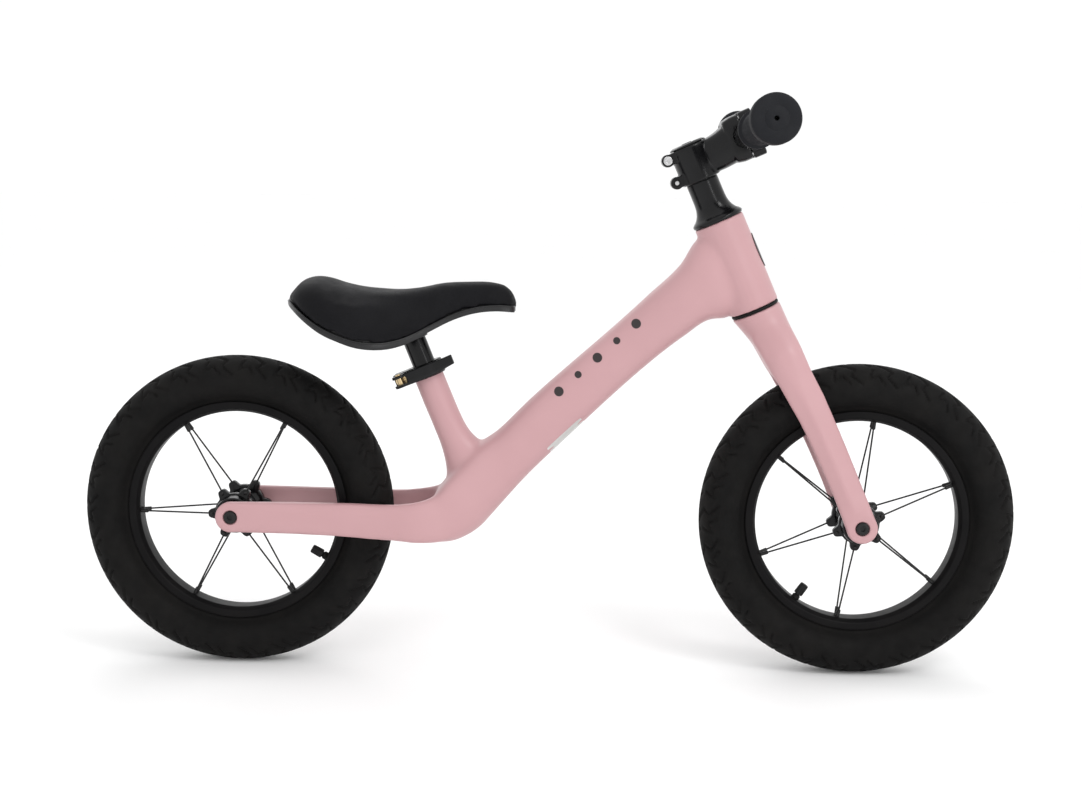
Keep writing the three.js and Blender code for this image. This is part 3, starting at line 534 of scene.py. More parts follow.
JOINTS = {joint["name"]: joint for joint in frame["joints"]}
STEER = axes_at(np.array(JOINTS["steering"]["pos_m"]) / MM, JOINTS["steering"]["axis"])
SEAT_TUBE_TOP = (-114.6, 0, 285)
SEAT = axes_at(SEAT_TUBE_TOP, JOINTS["seat_height"]["axis"])
HUBS = {end: np.array(sum(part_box(f"{end}_axle"), Vector()) / 2) / MM for end in ("rear", "front")}
FORK_AXLE = (np.linalg.inv(STEER) @ np.append(HUBS["front"], 1))[:3]
GAP = 0.3
INNER_FACE, OUTER_FACE = 37, 47  # of a dropout, from the middle of the bike
BAR_FORWARD, BAR_HEIGHT, BAR_RADIUS = 52, 155.7, 11.1


# ---------------------------------------------------------------- frame and fork

SPINE = [  # top x, z, bottom x, z, half width, power
    (-108.5, 171, -108.5, 126.5, 40, 5), (-89, 195, -86, 127, 37, 4), (-75, 210, -65, 138, 33, 3.4),
    (-62, 222.5, -49, 155, 28, 3), (-49, 232, -25, 182.8, 24, 2.8), (-16, 264.5, 19.5, 227.5, 21.5, 2.8),
    (95, 365.5, 131, 328, 21.5, 2.8), (127, 397, 155, 344, 22.5, 2.8), (140, 418.5, 173, 347, 23, 2.6),
    (157, 428, 188, 360, 19, 2.4),
]


def spine():
    rings = []
    for top_x, top_z, bottom_x, bottom_z, half_width, power in finer(SPINE, 90, 4):
        top, bottom = np.array((top_x, 0, top_z)), np.array((bottom_x, 0, bottom_z))
        height, middle = np.linalg.norm(top - bottom), (top + bottom) / 2
        rings.append(ring(middle, (0, 1, 0), (top - bottom) / height, half_width, height / 2, power))
    return skin(rings)


def seat_tube():
    stations = [
        (12.5, 0, 14.3, 14.3), (-20, 0.1, 14.4, 14.4), (-45, 0.4, 14.8, 14.6), (-66, 2, 16.4, 16),
        (-86, 6, 23, 20), (-108, 9, 33, 30),
    ]
    rings = [
        ring((forward, 0, height), (0, 1, 0), (1, 0, 0), half_width, half_length)
        for height, forward, half_length, half_width in finer(stations, 50, 1)
    ]
    return placed(skin(rings), SEAT)


def stay(side):
    """One stay, with a slanting facet along its upper outer edge."""
    stations = [  # x, low z, high z, inner y, outer y, facet height, facet width
        (-300.5, 136.8, 166.2, 37, 47, 0.8, 0.6), (-285, 136.6, 166.4, 36.6, 47, 4, 1.6),
        (-240, 136, 166.2, 34, 46.5, 7, 3), (-190, 134, 165.8, 33, 46, 8, 3.6),
        (-145, 130.5, 165.8, 33, 46, 9, 4), (-118, 128, 169.5, 31, 45, 12, 5), (-98, 129, 176, 16, 39, 14, 6),
        (-78, 138, 186, 8, 31, 12, 6),
    ]
    rings = []
    for x, low, high, inner, outer, facet, slant in finer(stations, 60, 1):
        outline = eased(
            [(inner, low), (outer - 1, low), (outer, low + 5), (outer, high - facet), (outer - slant, high),
             (inner, high)], 2.2, steps=3,
        )
        rings.append([(x, side * y, z) for y, z in outline])
    return skin(rings)


def dropout_pads(x, z):
    """Round ends of both dropouts, each with a low boss inside."""
    shells = []
    for side in (-1, 1):
        face = (x, side * OUTER_FACE, z)
        shells.append(rod((x, side * INNER_FACE, z), face, 14.7, edge=0.8, sides=72))
        shells.append(rod((x, side * (INNER_FACE - 0.8), z), face, 9, sides=48))
    return shells


def axle_holes(x, z):
    """A hole with a countersunk pocket for the bolt head, on each side."""
    profile = [(7.9, 2), (7.9, 0.0), (6.9, -0.9), (6.9, -4), (3.4, -4), (3.4, -14)]
    return [turned(profile, (x, side * OUTER_FACE, z), (0, side, 0), 64) for side in (-1, 1)]


def ramp(value, start, run):
    """0 below start, rising to 1 over the run."""
    return np.clip((value - start) / run, 0, 1)


def steering_place(points):
    """How far points lie ahead along the steering axes, and how high."""
    u, w = points[:, 0] - STEER[0, 3], points[:, 2] - STEER[2, 3]
    return u * STEER[0, 0] + w * STEER[2, 0], u * STEER[0, 2] + w * STEER[2, 2]


def near_welds(points):
    """1 where the castings flow into each other: the yoke, the foot of the seat tube and the head gusset."""
    x, _, z = points.T
    yoke = ramp(x, -165, 25) * ramp(-x, 30, 14) * ramp(-z, -256, 14)
    ahead, height = steering_place(points)
    gusset = ramp(-ahead, 8, 8) * ramp(ahead, -58, 22) * ramp(height, 5, 5) * ramp(-height, -86, 8)
    return np.maximum(yoke, 0.8 * gusset)


def make_frame():
    hub = HUBS["rear"]
    head_tube = placed(rod((0, 0, 2), (0, 0, 91.7), 24, edge=0.6, sides=96), STEER)
    shells = [head_tube, spine(), seat_tube(), stay(-1), stay(1), *dropout_pads(hub[0], hub[2])]
    obj = fuse("frame_casting", shells, None, 1.4, 5, 4)
    relax(obj, 34, 0, near_welds)
    bearing_bores = [(21.1, -5), (21.1, 10), (17, 10), (17, 83.7), (21.1, 83.7), (21.1, 100)]
    carve(obj, STEER, turned(bearing_bores, sides=64))
    carve(obj, SEAT, rod((0, 0, -128), (0, 0, 20), 11.5), block((-24, -1.5, -15), (-4, 1.5, 15)))
    carve(obj, None, *axle_holes(hub[0], hub[2]))
    return piece(obj, "pink_paint", ["frame"], 50)


def near_crown(points):
    """1 where the crown flows into the blades."""
    _, height = steering_place(points)
    return ramp(-height, 10, 14) * ramp(height, -96, 26)


def make_fork():
    crown = [
        (-1.1, 0.1, 23.9, 23.6, 2), (-14, 2.4, 22, 25.8, 2.2), (-30, 4.9, 19.9, 35, 2.8),
        (-44, 6, 19, 43, 3.4), (-66, 7.6, 18, 44, 4),
    ]
    crown_shell = skin([
        ring((forward, 0, height), (0, 1, 0), (1, 0, 0), half_width, half_length, power, 72)
        for height, forward, half_length, half_width, power in finer(crown, 40, 1)
    ])
    blades = [
        (-22, 3.8, 19.6, 8, 29), (-40, 5.8, 18.9, 22, 40.3), (-60, 7.2, 18.2, 31, 44), (-78, 9, 17.3, 31, 44),
        (-106, 11.4, 15.7, 31.5, 44.3), (-150, 12.9, 14.8, 33, 45), (-190, 13, 14.4, 35.5, 46.4),
        (-226.5, 12, 14.4, 37, 47),
    ]
    shells = [crown_shell]
    for side in (-1, 1):
        rings = []
        for height, forward, half, inner, outer in finer(blades, 60, 1):
            slope = min(1, max(0, (height + 221) / 30))
            front, rear = 5.4 * slope, 4.4 * slope
            outline = eased(
                [(-half, inner + 2), (-half + 2, inner), (half - 2, inner), (half, inner + 2),
                 (half, outer - front - 1.2), (half - 1.2, outer - front), (-half * 0.12, outer),
                 (-half + 1.2, outer - rear), (-half, outer - rear - 1.2)], 1.2, steps=3,
            )
            rings.append([(forward + x, side * y, height) for x, y in outline])
        shells.append(skin(rings))
    x, _, z = FORK_AXLE
    obj = fuse("fork_casting", [*shells, *dropout_pads(x, z)], STEER, 1.3, 2, 3)
    radius, top = 31, -62
    tunnel = ring((0, 0, 0), (0, 1, 0), (0, 0, 1), radius, radius, 2, 64)
    tunnel[:, 2] = np.where(tunnel[:, 2] < 0, tunnel[:, 2] - 22, tunnel[:, 2]) + top - radius
    carve(obj, STEER, skin([tunnel + (-50, 0, 0), tunnel + (70, 0, 0)]))
    recast(obj, 1.3, 2, 3)
    relax(obj, 40, 0, near_crown)
    carve(obj, STEER, rod((0, 0, -24), (0, 0, 5), 14.6), *axle_holes(x, z))
    return piece(obj, "pink_paint", ["fork"], 50)


def decal(name, target, outlines, look, lift=0.16):
    """Thin marks laid on the frame: each outline is rings of points that are dropped on to it."""
    tree = BVHTree.FromObject(target, bpy.context.evaluated_depsgraph_get())
    shells = []
    for grid, towards in outlines:
        grid, towards = np.asarray(grid, float), unit(towards)
        rows, columns = grid.shape[:2]
        spots = []
        for point in grid.reshape(-1, 3):
            hit, normal, _, _ = tree.ray_cast(Vector(point) * MM, Vector(towards))
            spots.append(None if hit is None else (np.array(hit) / MM, np.array(normal)))
        if any(spot is None for spot in spots):
            continue
        top = np.array([p + n * lift for p, n in spots]).reshape(rows, columns, 3)
        under = np.array([p - n * 0.3 for p, n in spots]).reshape(rows, columns, 3)
        shells.append(skin([*top, *under[::-1]]))
    add_piece(name, shells, None, "pink_paint", [], 40, body=BODY_OF["frame"], look=look)


def disc_grid(centre, right, up, half_right, half_up, power=2.0, rows=5, count=28, inner=0.02):
    """Rings of points from the middle of a flat shape to its rim."""
    return [
        ring(centre, right, up, half_right * s, half_up * s, power, count)
        for s in np.linspace(inner, 1, rows)
    ]


def make_marks(casting):
    """A row of plain dots on both sides of the down tube, a blank label under it and a plain oval badge."""
    along = unit((111.0, 0, 101.0))
    across = np.array((-along[2], 0, along[0]))
    dots = []
    for side in (-1, 1):
        towards = (0, -side, 0)
        for k in range(5):
            centre = np.array((12.0, side * 80, 274.5)) + along * (k * 24.5)
            size = 3.4 if k % 2 else 4.6
            dots.append((disc_grid(centre, along, across, size, size), towards))
    decal("down_tube_dots", casting, dots, "ink")
    middle, outwards = np.array((13.2, 0, 237.8)), unit((0.36, -0.86, -0.4))
    across = unit(np.cross(outwards, along))
    label = [(disc_grid(middle + outwards * 60, along, across, 22, 5, 9, 5, 48), -outwards)]
    decal("blank_label", casting, label, "label")
    badge_centre = (STEER @ np.array((80, 0, 52, 1)))[:3]
    badge = [(disc_grid(badge_centre, (0, 1, 0), STEER[:3, 2], 8, 17, 2.4, 6, 48), -STEER[:3, 0])]
    decal("head_badge", casting, badge, "ink", lift=0.9)


# ---------------------------------------------------------------- headset, stem and bar

def make_headset():
    seal = eased([(14.6, -0.8), (23.2, -0.8), (23.5, 0.45), (23.2, 1.7), (14.6, 1.7)], 0.4)
    add_piece(
        "crown_seal", [turned(seal, sides=96, loop=True)], STEER, "grip_rubber", ["fork_crown_seal"],
        look="tube_rubber",
    )
    steerer = turned([(12.1, -23.6), (14.3, -23.6), (14.3, 166), (12.1, 166)], sides=64, loop=True)
    add_piece("steerer", [steerer], STEER, "black_alloy", ["steerer_tube"])
    outside = [
        (92.0, 24.3), (94.4, 24.6), (96.2, 23.3), (98.2, 20.9), (100.4, 19.1), (103, 17.6), (106, 16.5),
        (109, 15.85), (113, 15.5), (118, 15.4), (132.2, 15.4),
    ]
    heights = np.linspace(92.0, 132.2, 46)
    radii = smooth_curve([h for h, _ in outside], [r for _, r in outside], heights)[:, 0]
    profile = [(14.6, 92), (24.0, 92), *zip(radii[1:], heights[1:]), (15.1, 133), (14.6, 133)]
    cone = turned(profile, sides=112, loop=True)
    add_piece("headset_cone", [cone], STEER, "black_alloy", ["headset_cover"], 50)


def hexed_bolt(place, direction, shank, shank_radius, head_radius, head_height, wide=0.5, dome=0.5):
    """A socket-head bolt from the underside of its head."""
    flat = head_radius * wide
    profile = [
        (0.01, -shank), (shank_radius * 0.8, -shank), (shank_radius, -shank + 0.6), (shank_radius, 0),
        (head_radius - 0.15, 0), (head_radius, 0.3), (head_radius, head_height - dome),
        (head_radius - 0.3 * dome, head_height - 0.3 * dome), (head_radius - dome, head_height),
        (flat + 0.35, head_height), (flat, head_height - 0.25, "hex"), (flat, head_height * 0.4, "hex"),
        (0.01, head_height * 0.4 - 0.3),
    ]
    return turned(profile, place, direction, 48)


PINCH_BACK, PINCH_HEIGHTS, STEM_BOTTOM, STEM_TOP = -22.8, (140, 162.5), 133.3, 168
FACE_BOLTS = [(y, BAR_HEIGHT + h) for y in (-14.5, 14.5) for h in (-17.3, 17.3)]


def make_stem():
    neck = [
        (0, 151, 14, 16), (2, 151, 15, 16.6), (15, 151.3, 14.5, 16.8), (27, 152.3, 17.5, 17.8),
        (38, 154.8, 20.3, 19.3),
    ]
    neck_shell = skin([
        ring((x, 0, z), (0, 1, 0), (0, 0, 1), half_width, half_height, 3, 48)
        for x, z, half_width, half_height in finer(neck, 24, 1)
    ])
    jaw = skin([
        ring((x, 0, BAR_HEIGHT), (0, 1, 0), (0, 0, 1), half_width, half_height, 6, 56)
        for x, half_height, half_width in (
            (35.5, 19, 19), (37.5, 21, 20.4), (44, 22.3, 21), (51, 22.3, 21), (52, 21.7, 20.5),
        )
    ])
    shells = [rod((0, 0, STEM_BOTTOM), (0, 0, STEM_TOP), 18.6, edge=1.4, sides=96), neck_shell, jaw]
    for height in PINCH_HEIGHTS:
        shells.append(rod((PINCH_BACK, -12, height), (PINCH_BACK, 12, height), 6, edge=0.9))
        shells.append(block((PINCH_BACK, -12, height - 5.2), (-8, 12, height + 5.2), 1))
    obj = fuse("stem", shells, STEER, 0.75, 3, 4)
    bar_bore = rod((BAR_FORWARD, -30, BAR_HEIGHT), (BAR_FORWARD, 30, BAR_HEIGHT), 11.7, sides=64)
    carve(
        obj, STEER, rod((0, 0, 120), (0, 0, 180), 14.6, sides=64), block((-35, -1.2, 120), (-4, 1.2, 180)),
        bar_bore, *[rod((PINCH_BACK, -20, z), (PINCH_BACK, 20, z), 2.8, sides=24) for z in PINCH_HEIGHTS],
    )
    piece(obj, "black_alloy", ["stem_body"], 45)

    shells = [rod((BAR_FORWARD, -21, BAR_HEIGHT), (BAR_FORWARD, 21, BAR_HEIGHT), 15.6, edge=1.2, sides=80)]
    for y, z in FACE_BOLTS:
        low, high = sorted((z, BAR_HEIGHT))
        shells.append(rod((52.8, y, z), (65, y, z), 5.6, edge=0.8, sides=40))
        shells.append(block((52.8, y - 5.6, low), (62, y + 5.6, high), 1))
    plate = fuse("faceplate", shells, STEER, 0.6, 2, 4)
    bolt_bore = [(2.8, 50), (2.8, 61), (4.8, 61), (4.8, 70)]
    carve(
        plate, STEER, block((20, -40, 120), (52.8, 40, 190)), bar_bore,
        block((BAR_FORWARD, -6.5, BAR_HEIGHT - 7), (80, 6.5, BAR_HEIGHT + 7), 1.5),
        *[turned(bolt_bore, (0, y, z), (1, 0, 0), 32) for y, z in FACE_BOLTS],
    )
    piece(plate, "black_alloy", ["stem_faceplate"], 45)

    for i, (y, z) in enumerate(FACE_BOLTS):
        bolt = hexed_bolt((61.3, y, z), (1, 0, 0), 19, 2.4, 4.2, 4.2)
        add_piece(f"face_bolt_{i + 1}", [bolt], STEER, "steel", [f"faceplate_bolt_{i + 1}"])
    for name, height, side in (("upper", PINCH_HEIGHTS[1], -1), ("lower", PINCH_HEIGHTS[0], 1)):
        bolt = hexed_bolt((PINCH_BACK, side * 12.3, height), (0, side, 0), 24, 2.4, 4.2, 3, dome=0.7)
        add_piece(f"pinch_bolt_{name}", [bolt], STEER, "steel", [f"stem_pinch_bolt_{name}"])
    cap = [
        (3.4, 167.3), (14.2, 167.3), (14.2, 168.3), (17.6, 168.3), (17.6, 169.4), (14.6, 170.8), (7, 171),
        (5.4, 171), (5.4, 169.2), (3.4, 169.2),
    ]
    cap = turned(eased(cap, 0.35, steps=3), sides=80, loop=True)
    add_piece("top_cap", [cap], STEER, "black_alloy", ["stem_top_cap"])
    bolt = hexed_bolt((0, 0, 169.5), (0, 0, 1), 23, 2.8, 4.9, 2, dome=0.5)
    add_piece("cap_bolt", [bolt], STEER, "black_steel", ["top_cap_bolt"])


BAR_END = np.array((65.4, 186, 160.6))
BAR_KNEE = np.array((BAR_FORWARD, 30, BAR_HEIGHT))


def bar_end(side):
    flip = np.array((1, side, 1))
    return BAR_END * flip, unit((BAR_END - BAR_KNEE) * flip)


def make_bar():
    corner, bend = BAR_KNEE, 14
    before, after = corner - (0, bend, 0), corner + unit(BAR_END - corner) * bend
    path = [corner * (1, 0, 1), before]
    for t in np.linspace(0.15, 0.85, 5):
        path.append((1 - t) ** 2 * before + 2 * t * (1 - t) * corner + t * t * after)
    path += [after, BAR_END]
    path = np.array([p * (1, -1, 1) for p in reversed(path[1:])] + path[1:])
    direction = np.gradient(path, axis=0)

    def rings(radius):
        out = []
        for p, d in zip(path, direction):
            d = unit(d)
            across = unit(np.array((1, 0, 0)) - d * d[0])
            out.append(ring(p, across, np.cross(d, across), radius, radius, 2, 48))
        return out

    outside, inside = rings(BAR_RADIUS), rings(BAR_RADIUS - 2)
    add_piece("bar", [skin([*outside, *inside[::-1]], loop=True)], STEER, "black_alloy", ["handlebar"], 40)


def make_grip(side):
    """A ribbed sleeve with a guard flange inboard and a wide end disc."""
    end, run = bar_end(side)
    start = -96
    outside = [(11.6, start), (17.6, start), (17.6, start + 4), (15.2, start + 5.2), (14.4, start + 7)]
    rib = start + 9
    while rib < -20:
        outside += [(14.5, rib), (15.1, rib + 0.7), (15.1, rib + 2.1), (14.5, rib + 2.8)]
        rib += 4
    outside += [(15, -16.5), (17.5, -13), (21, -10.4), (21.6, -9.4), (21.6, 1.2), (20.6, 3), (18.6, 3.9)]
    face = [(11.4, 4), (10.9, 3.65), (10.1, 3.65), (9.6, 4), (3.1, 4), (2.2, 3.5), (2, 2.4), (2, 0.3)]
    profile = eased(outside, 0.45, loop=False, steps=3) + face + [(11.4, 0.3)]
    name = "right" if side < 0 else "left"
    sleeve = turned(profile, end, run, 96, loop=True)
    add_piece(f"grip_sleeve_{name}", [sleeve], STEER, "grip_rubber", [f"grip_{name}"], 40)


# ---------------------------------------------------------------- seat clamp and post

ROD_BACK, ROD_HEIGHT, PIVOT_SIDE = -24.5, 6.8, -21


def make_clamp():
    def across(y):
        return (ROD_BACK, y, ROD_HEIGHT)

    collar = rod((0, 0, -0.4), (0, 0, 13.6), 17.6, edge=1.3, sides=96)
    ears = block((-31, -12.5, 0.4), (-10, 12.5, 13.2), 1.6)
    band = fuse("clamp_band", (collar, ears), SEAT, 0.6, 3, 4)
    carve(
        band, SEAT, rod((0, 0, -5), (0, 0, 12.8), 14.9, sides=72), rod((0, 0, 5), (0, 0, 20), 11.7, sides=64),
        block((-40, -1.5, -5), (-5, 1.5, 20)), rod(across(-20), across(20), 2.7, sides=32),
    )
    piece(band, "black_alloy", ["seat_clamp_band"], 45)
    shells = [
        rod(across(PIVOT_SIDE), across(22.5), 2.4, edge=0.4),
        rod((ROD_BACK, PIVOT_SIDE, 1.4), (ROD_BACK, PIVOT_SIDE, 14), 3, edge=0.8),
        rod(across(-14), across(-12.9), 5.4, edge=0.3, sides=56),
    ]
    add_piece("clamp_rod", shells, SEAT, "brass", ["seat_clamp_rod"])
    nut = turned(
        [(2.7, 12.8), (6.2, 12.8, "hex"), (6.2, 19.4, "hex"), (5.4, 20.6), (3.1, 21), (2.7, 20.6)],
        across(0), (0, 1, 0), 48, loop=True,
    )
    add_piece("clamp_nut", [nut], SEAT, "black_steel", ["seat_clamp_nut"], 30)

    head = rod((ROD_BACK, PIVOT_SIDE, 0.8), (ROD_BACK, PIVOT_SIDE, 12.8), 6.6, edge=0.8, sides=56)
    arm = [  # x, y, half thickness, z, half height
        (ROD_BACK, -24.3, 2.4, 6.8, 6), (-10, -23.2, 1.9, 6.8, 6.2), (2, -21.6, 1.9, 6.8, 6.2),
        (12, -18.4, 2, 7, 5.8), (22, -15.2, 2.3, 7.8, 5), (29.5, -13.2, 2.6, 8.4, 4.6),
    ]
    arm_shell = skin([
        ring((x, y, z), (0, 1, 0), (0, 0, 1), half_thick, half_height, 4, 40)
        for x, y, half_thick, z, half_height in finer(arm, 44, 2)
    ])
    lever = fuse("clamp_lever", (head, arm_shell), SEAT, 0.5, 2, 4)
    carve(
        lever, SEAT, rod((ROD_BACK, PIVOT_SIDE, -5), (ROD_BACK, PIVOT_SIDE, 20), 3.3, sides=40),
        block((ROD_BACK - 12, PIVOT_SIDE - 12, 3.6), (ROD_BACK + 8, 10, 10)),
    )
    piece(lever, "black_alloy", ["seat_clamp_lever"], 45)

    post = eased([(9.1, -100), (11.1, -100), (11.1, 58), (9.1, 58)], 0.6, steps=3)
    add_piece("seat_pillar", [turned(post, sides=96, loop=True)], SEAT, "black_alloy", ["seat_post"])


# ---------------------------------------------------------------- saddle

CROWN = [
    (-250.5, 363), (-243, 370), (-235, 377.5), (-223, 381), (-210, 378.6), (-197, 373.6), (-180, 369.8),
    (-160, 368), (-143, 367.4), (-124, 369.2), (-101, 374), (-76, 377), (-50, 377.4), (-40, 374.6),
    (-32, 366), (-28.5, 357),
]
LOWER_EDGE = [
    (-250.5, 357.5), (-247, 355), (-239, 349.5), (-226, 340), (-210, 330), (-194, 323.3), (-178, 317.9),
    (-162, 315.6), (-146, 316.2), (-132, 320), (-113, 330), (-88, 342.4), (-69, 348.2), (-49, 350.2),
    (-28.5, 348.6),
]
HALF_WIDTH = [
    (-250.5, 8), (-246, 26), (-238, 41), (-225, 53), (-208, 61), (-190, 64), (-172, 62.5), (-154, 56),
    (-136, 46), (-118, 36.5), (-98, 28.5), (-76, 23.5), (-54, 20), (-40, 17), (-32, 12), (-28.5, 5),
]
PAD_THICKNESS, SHELL_THICKNESS, SHELL_BAND = 12, 3.2, 6


def saddle_stations(count, inset=0.0):
    tail, nose = -250.5 + inset, -28.5 - inset
    x = (tail + nose) / 2 - (nose - tail) / 2 * np.cos(np.linspace(0, math.pi, count))

    def read(table):
        return smooth_curve([p[0] for p in table], [p[1] for p in table], x)[:, 0]

    crown = read(CROWN)
    return list(zip(x, crown, np.minimum(read(LOWER_EDGE), crown - 5), read(HALF_WIDTH)))


def seam_height(crown, edge):
    return min(SHELL_BAND, (crown - edge) * 0.35)


def arch(station, foot, thickness, clearance=0.0, steps=44):
    """Points over one station from the right edge to the left one, under a pad and a clearance."""
    x, crown, edge, half_width = station
    side = min(thickness * 0.5, half_width * 0.35)
    top = min(thickness, (crown - edge) * 0.4)
    wide = max(half_width - side - clearance, 1)
    high = max(crown - edge - foot - top - clearance, 0.4)
    angle = np.linspace(0, math.pi, steps)
    c, s = np.cos(angle), np.clip(np.sin(angle), 0, 1)
    y = -wide * np.sign(c) * np.abs(c) ** 0.8
    return np.stack([np.full(steps, x), y, edge + foot + high * s**0.85], 1)


def swell(obj, cap):
    """Lets the cover swell over its foam as a cloth under pressure, by no more than the cap."""
    rest = points_of(obj)
    cloth = obj.modifiers.new("foam", "CLOTH")
    settings = cloth.settings
    settings.quality = 6
    settings.use_pressure, settings.uniform_pressure_force = True, 4
    settings.effector_weights.gravity = 0
    for step in range(1, 21):
        SCENE.frame_set(step)
    view = bpy.context.evaluated_depsgraph_get()
    swollen = obj.evaluated_get(view).to_mesh()
    flat = np.zeros(len(swollen.vertices) * 3)
    swollen.vertices.foreach_get("co", flat)
    move = flat.reshape(-1, 3) - rest
    length = np.linalg.norm(move, axis=1, keepdims=True)
    obj.evaluated_get(view).to_mesh_clear()
    obj.modifiers.clear()
    SCENE.frame_set(1)
    set_points(obj, rest + move * np.minimum(1, cap * MM / np.maximum(length, 1e-9)))


def make_saddle():
    rings = []
    for s in saddle_stations(60):
        foot = seam_height(s[1], s[2]) - 0.8
        outer = arch(s, foot, 0, 0.5)
        inner = arch(s, foot, PAD_THICKNESS)
        rings.append([*outer, *inner[::-1]])
    pad = fuse("saddle_cushion", [skin(rings)], None, 3.0, 2, 2)
    swell(pad, 2.0)
    relax(pad, 1, 3)
    subdivision = pad.modifiers.new("skin", "SUBSURF")
    subdivision.levels = subdivision.render_levels = 1
    apply_modifiers(pad)
    piece(pad, "saddle_cover", ["saddle_pad"], 70)

    shell_rings, rail = [], []
    for s in saddle_stations(60, 3.2):
        x, crown, edge, half_width = s
        half_width -= 0.5
        foot = seam_height(crown, edge) - GAP
        outer = arch(s, foot, PAD_THICKNESS, 2 * GAP)[::-1]
        inner = arch(s, 0, PAD_THICKNESS, 2 * GAP + SHELL_THICKNESS)
        lip = half_width * 0.985
        right = [(x, -lip, edge), *inner, (x, lip, edge), (x, half_width - 0.3, edge + 0.8)]
        left = [(x, half_width - 0.3, edge + foot - 0.6), (x, half_width * 0.99, edge + foot)]
        mirrored = [(px, -py, pz) for px, py, pz in reversed(left)]
        shell_rings.append([*right, *left, *outer, *mirrored, (x, -half_width + 0.3, edge + 0.8)])
        rail.append((x, half_width, edge + foot - 0.2))
    shell = as_object("saddle_base", [skin(shell_rings)])
    socket = as_object("socket", [placed(rod((0, 0, 38), (0, 0, 62), 14, edge=0.8, sides=64), SEAT)])
    join = shell.modifiers.new("join", "BOOLEAN")
    join.operation, join.solver, join.object = "UNION", "EXACT", socket
    apply_modifiers(shell)
    bpy.data.objects.remove(socket)
    carve(shell, SEAT, rod((0, 0, 20), (0, 0, 58.3), 11.7, sides=48))
    piece(shell, "shell_plastic", ["saddle_shell"], 40)

    # the rolled lip where the cover is tucked into the base
    loop = np.array(rail + [(x, -y, z) for x, y, z in reversed(rail)])
    for _ in range(6):
        loop += 0.5 * ((np.roll(loop, -1, 0) + np.roll(loop, 1, 0)) / 2 - loop)
    direction = np.roll(loop, -1, 0) - np.roll(loop, 1, 0)
    lip_rings = []
    for p, d in zip(loop, direction):
        d = unit(d)
        out = unit(np.cross(d, (0, 0, 1)))
        lip_rings.append(ring(p - out * 0.3, out, np.cross(out, d), 0.7, 0.7, 2, 12))
    add_piece("saddle_lip", [skin(lip_rings, loop=True)], None, "shell_plastic", [], 60, body="seat")


# ---------------------------------------------------------------- wheels, about their own axles

SPOKES = 6
PHASES = {"rear": 2, "front": 21.5}  # of the first pair of spokes, in degrees
VALVES = {"rear": -29, "front": 235}
SPOKE_FOOT, SPOKE_RIM = (26.3, 22), (102.2, 3.2)  # radius and distance from the middle
TREAD_RADIUS, TREAD_DEPTH, REPEATS = 151.5, 1.5, 26
PITCH = 2 * math.pi * TREAD_RADIUS / REPEATS
TYRE_OUTSIDE = [
    (102.0, 9.4), (106.0, 10.2), (109.4, 11.6), (112.0, 14.8), (115.4, 19.2), (120.5, 22.9), (127.5, 24.7),
    (134.5, 23.8), (140.8, 20.9), (146.0, 16.0), (149.6, 9.8), (151.2, 4.0), (TREAD_RADIUS, 0),
]
TYRE_INSIDE = [
    (147.6, 0), (146.6, 6), (141.5, 15.5), (134, 20.4), (125, 20.8), (118, 18.3), (113.4, 12.4), (110, 8.4),
    (102, 7.4),
]
GROOVES = [  # (distance round the tread, distance out from its middle), in millimetres, for one repeat
    [(1, 31), (13, 21.5), (7.5, 15), (22, 4)],
    [(15, 30), (21.5, 21), (31, 24.5), (27, 14)],
    [(29, 9), (33, 2)],
]


def groove_depth(around, out):
    """How deep the tread is cut at a place: 1 in the middle of a groove, 0 on a block."""
    nearest = np.full(around.shape, 1e9)
    for line in GROOVES:
        for (u0, w0), (u1, w1) in zip(line, line[1:]):
            run_u, run_w = u1 - u0, w1 - w0
            for shift in (-PITCH, 0, PITCH):
                du, dw = (around % PITCH) - (u0 + shift), out - w0
                t = np.clip((du * run_u + dw * run_w) / (run_u**2 + run_w**2), 0, 1)
                nearest = np.minimum(nearest, np.hypot(du - t * run_u, dw - t * run_w))
    return 1 - ramp(nearest, 0.7, 0.7)


def hoop(angle, radius, y):
    """A ring round the axle, at angles in radians."""
    return np.stack([radius * np.cos(angle), y + 0 * angle, radius * np.sin(angle)], 1)


def tyre_shell():
    half, half_inside = finer(TYRE_OUTSIDE, 40), finer(TYRE_INSIDE, 12)
    outside = np.vstack([half, (half[::-1] * (1, -1))[1:]])
    inside = np.vstack([half_inside[::-1] * (1, -1), half_inside[1:]])
    arc = np.concatenate([[0], np.cumsum(np.linalg.norm(np.diff(outside, axis=0), axis=1))])
    arc -= arc[len(half) - 1]
    angle = 2 * np.pi * np.arange(880) / 880
    tangent = np.gradient(outside, axis=0)
    normal = np.stack([tangent[:, 1], -tangent[:, 0]], 1)
    normal /= np.linalg.norm(normal, axis=1, keepdims=True)
    normal *= np.sign(np.sum(normal * (outside - (125, 0)), axis=1))[:, None]
    around = angle[None, :] * TREAD_RADIUS + np.where(arc < 0, 0, PITCH / 2)[:, None]
    depth = TREAD_DEPTH * groove_depth(around, np.abs(arc)[:, None])
    rings = [
        hoop(angle, r - nr * cut, y - ny * cut) for (r, y), (nr, ny), cut in zip(outside, normal, depth)
    ]
    return skin(rings + [hoop(angle, r, y) for r, y in inside], loop=True)


def both_sides(half):
    """A closed profile from the half on one side."""
    return half + [(radius, -y) for radius, y in reversed(half)]


def polar(degrees, radius, y):
    a = math.radians(degrees)
    return np.array((radius * math.cos(a), y, radius * math.sin(a)))


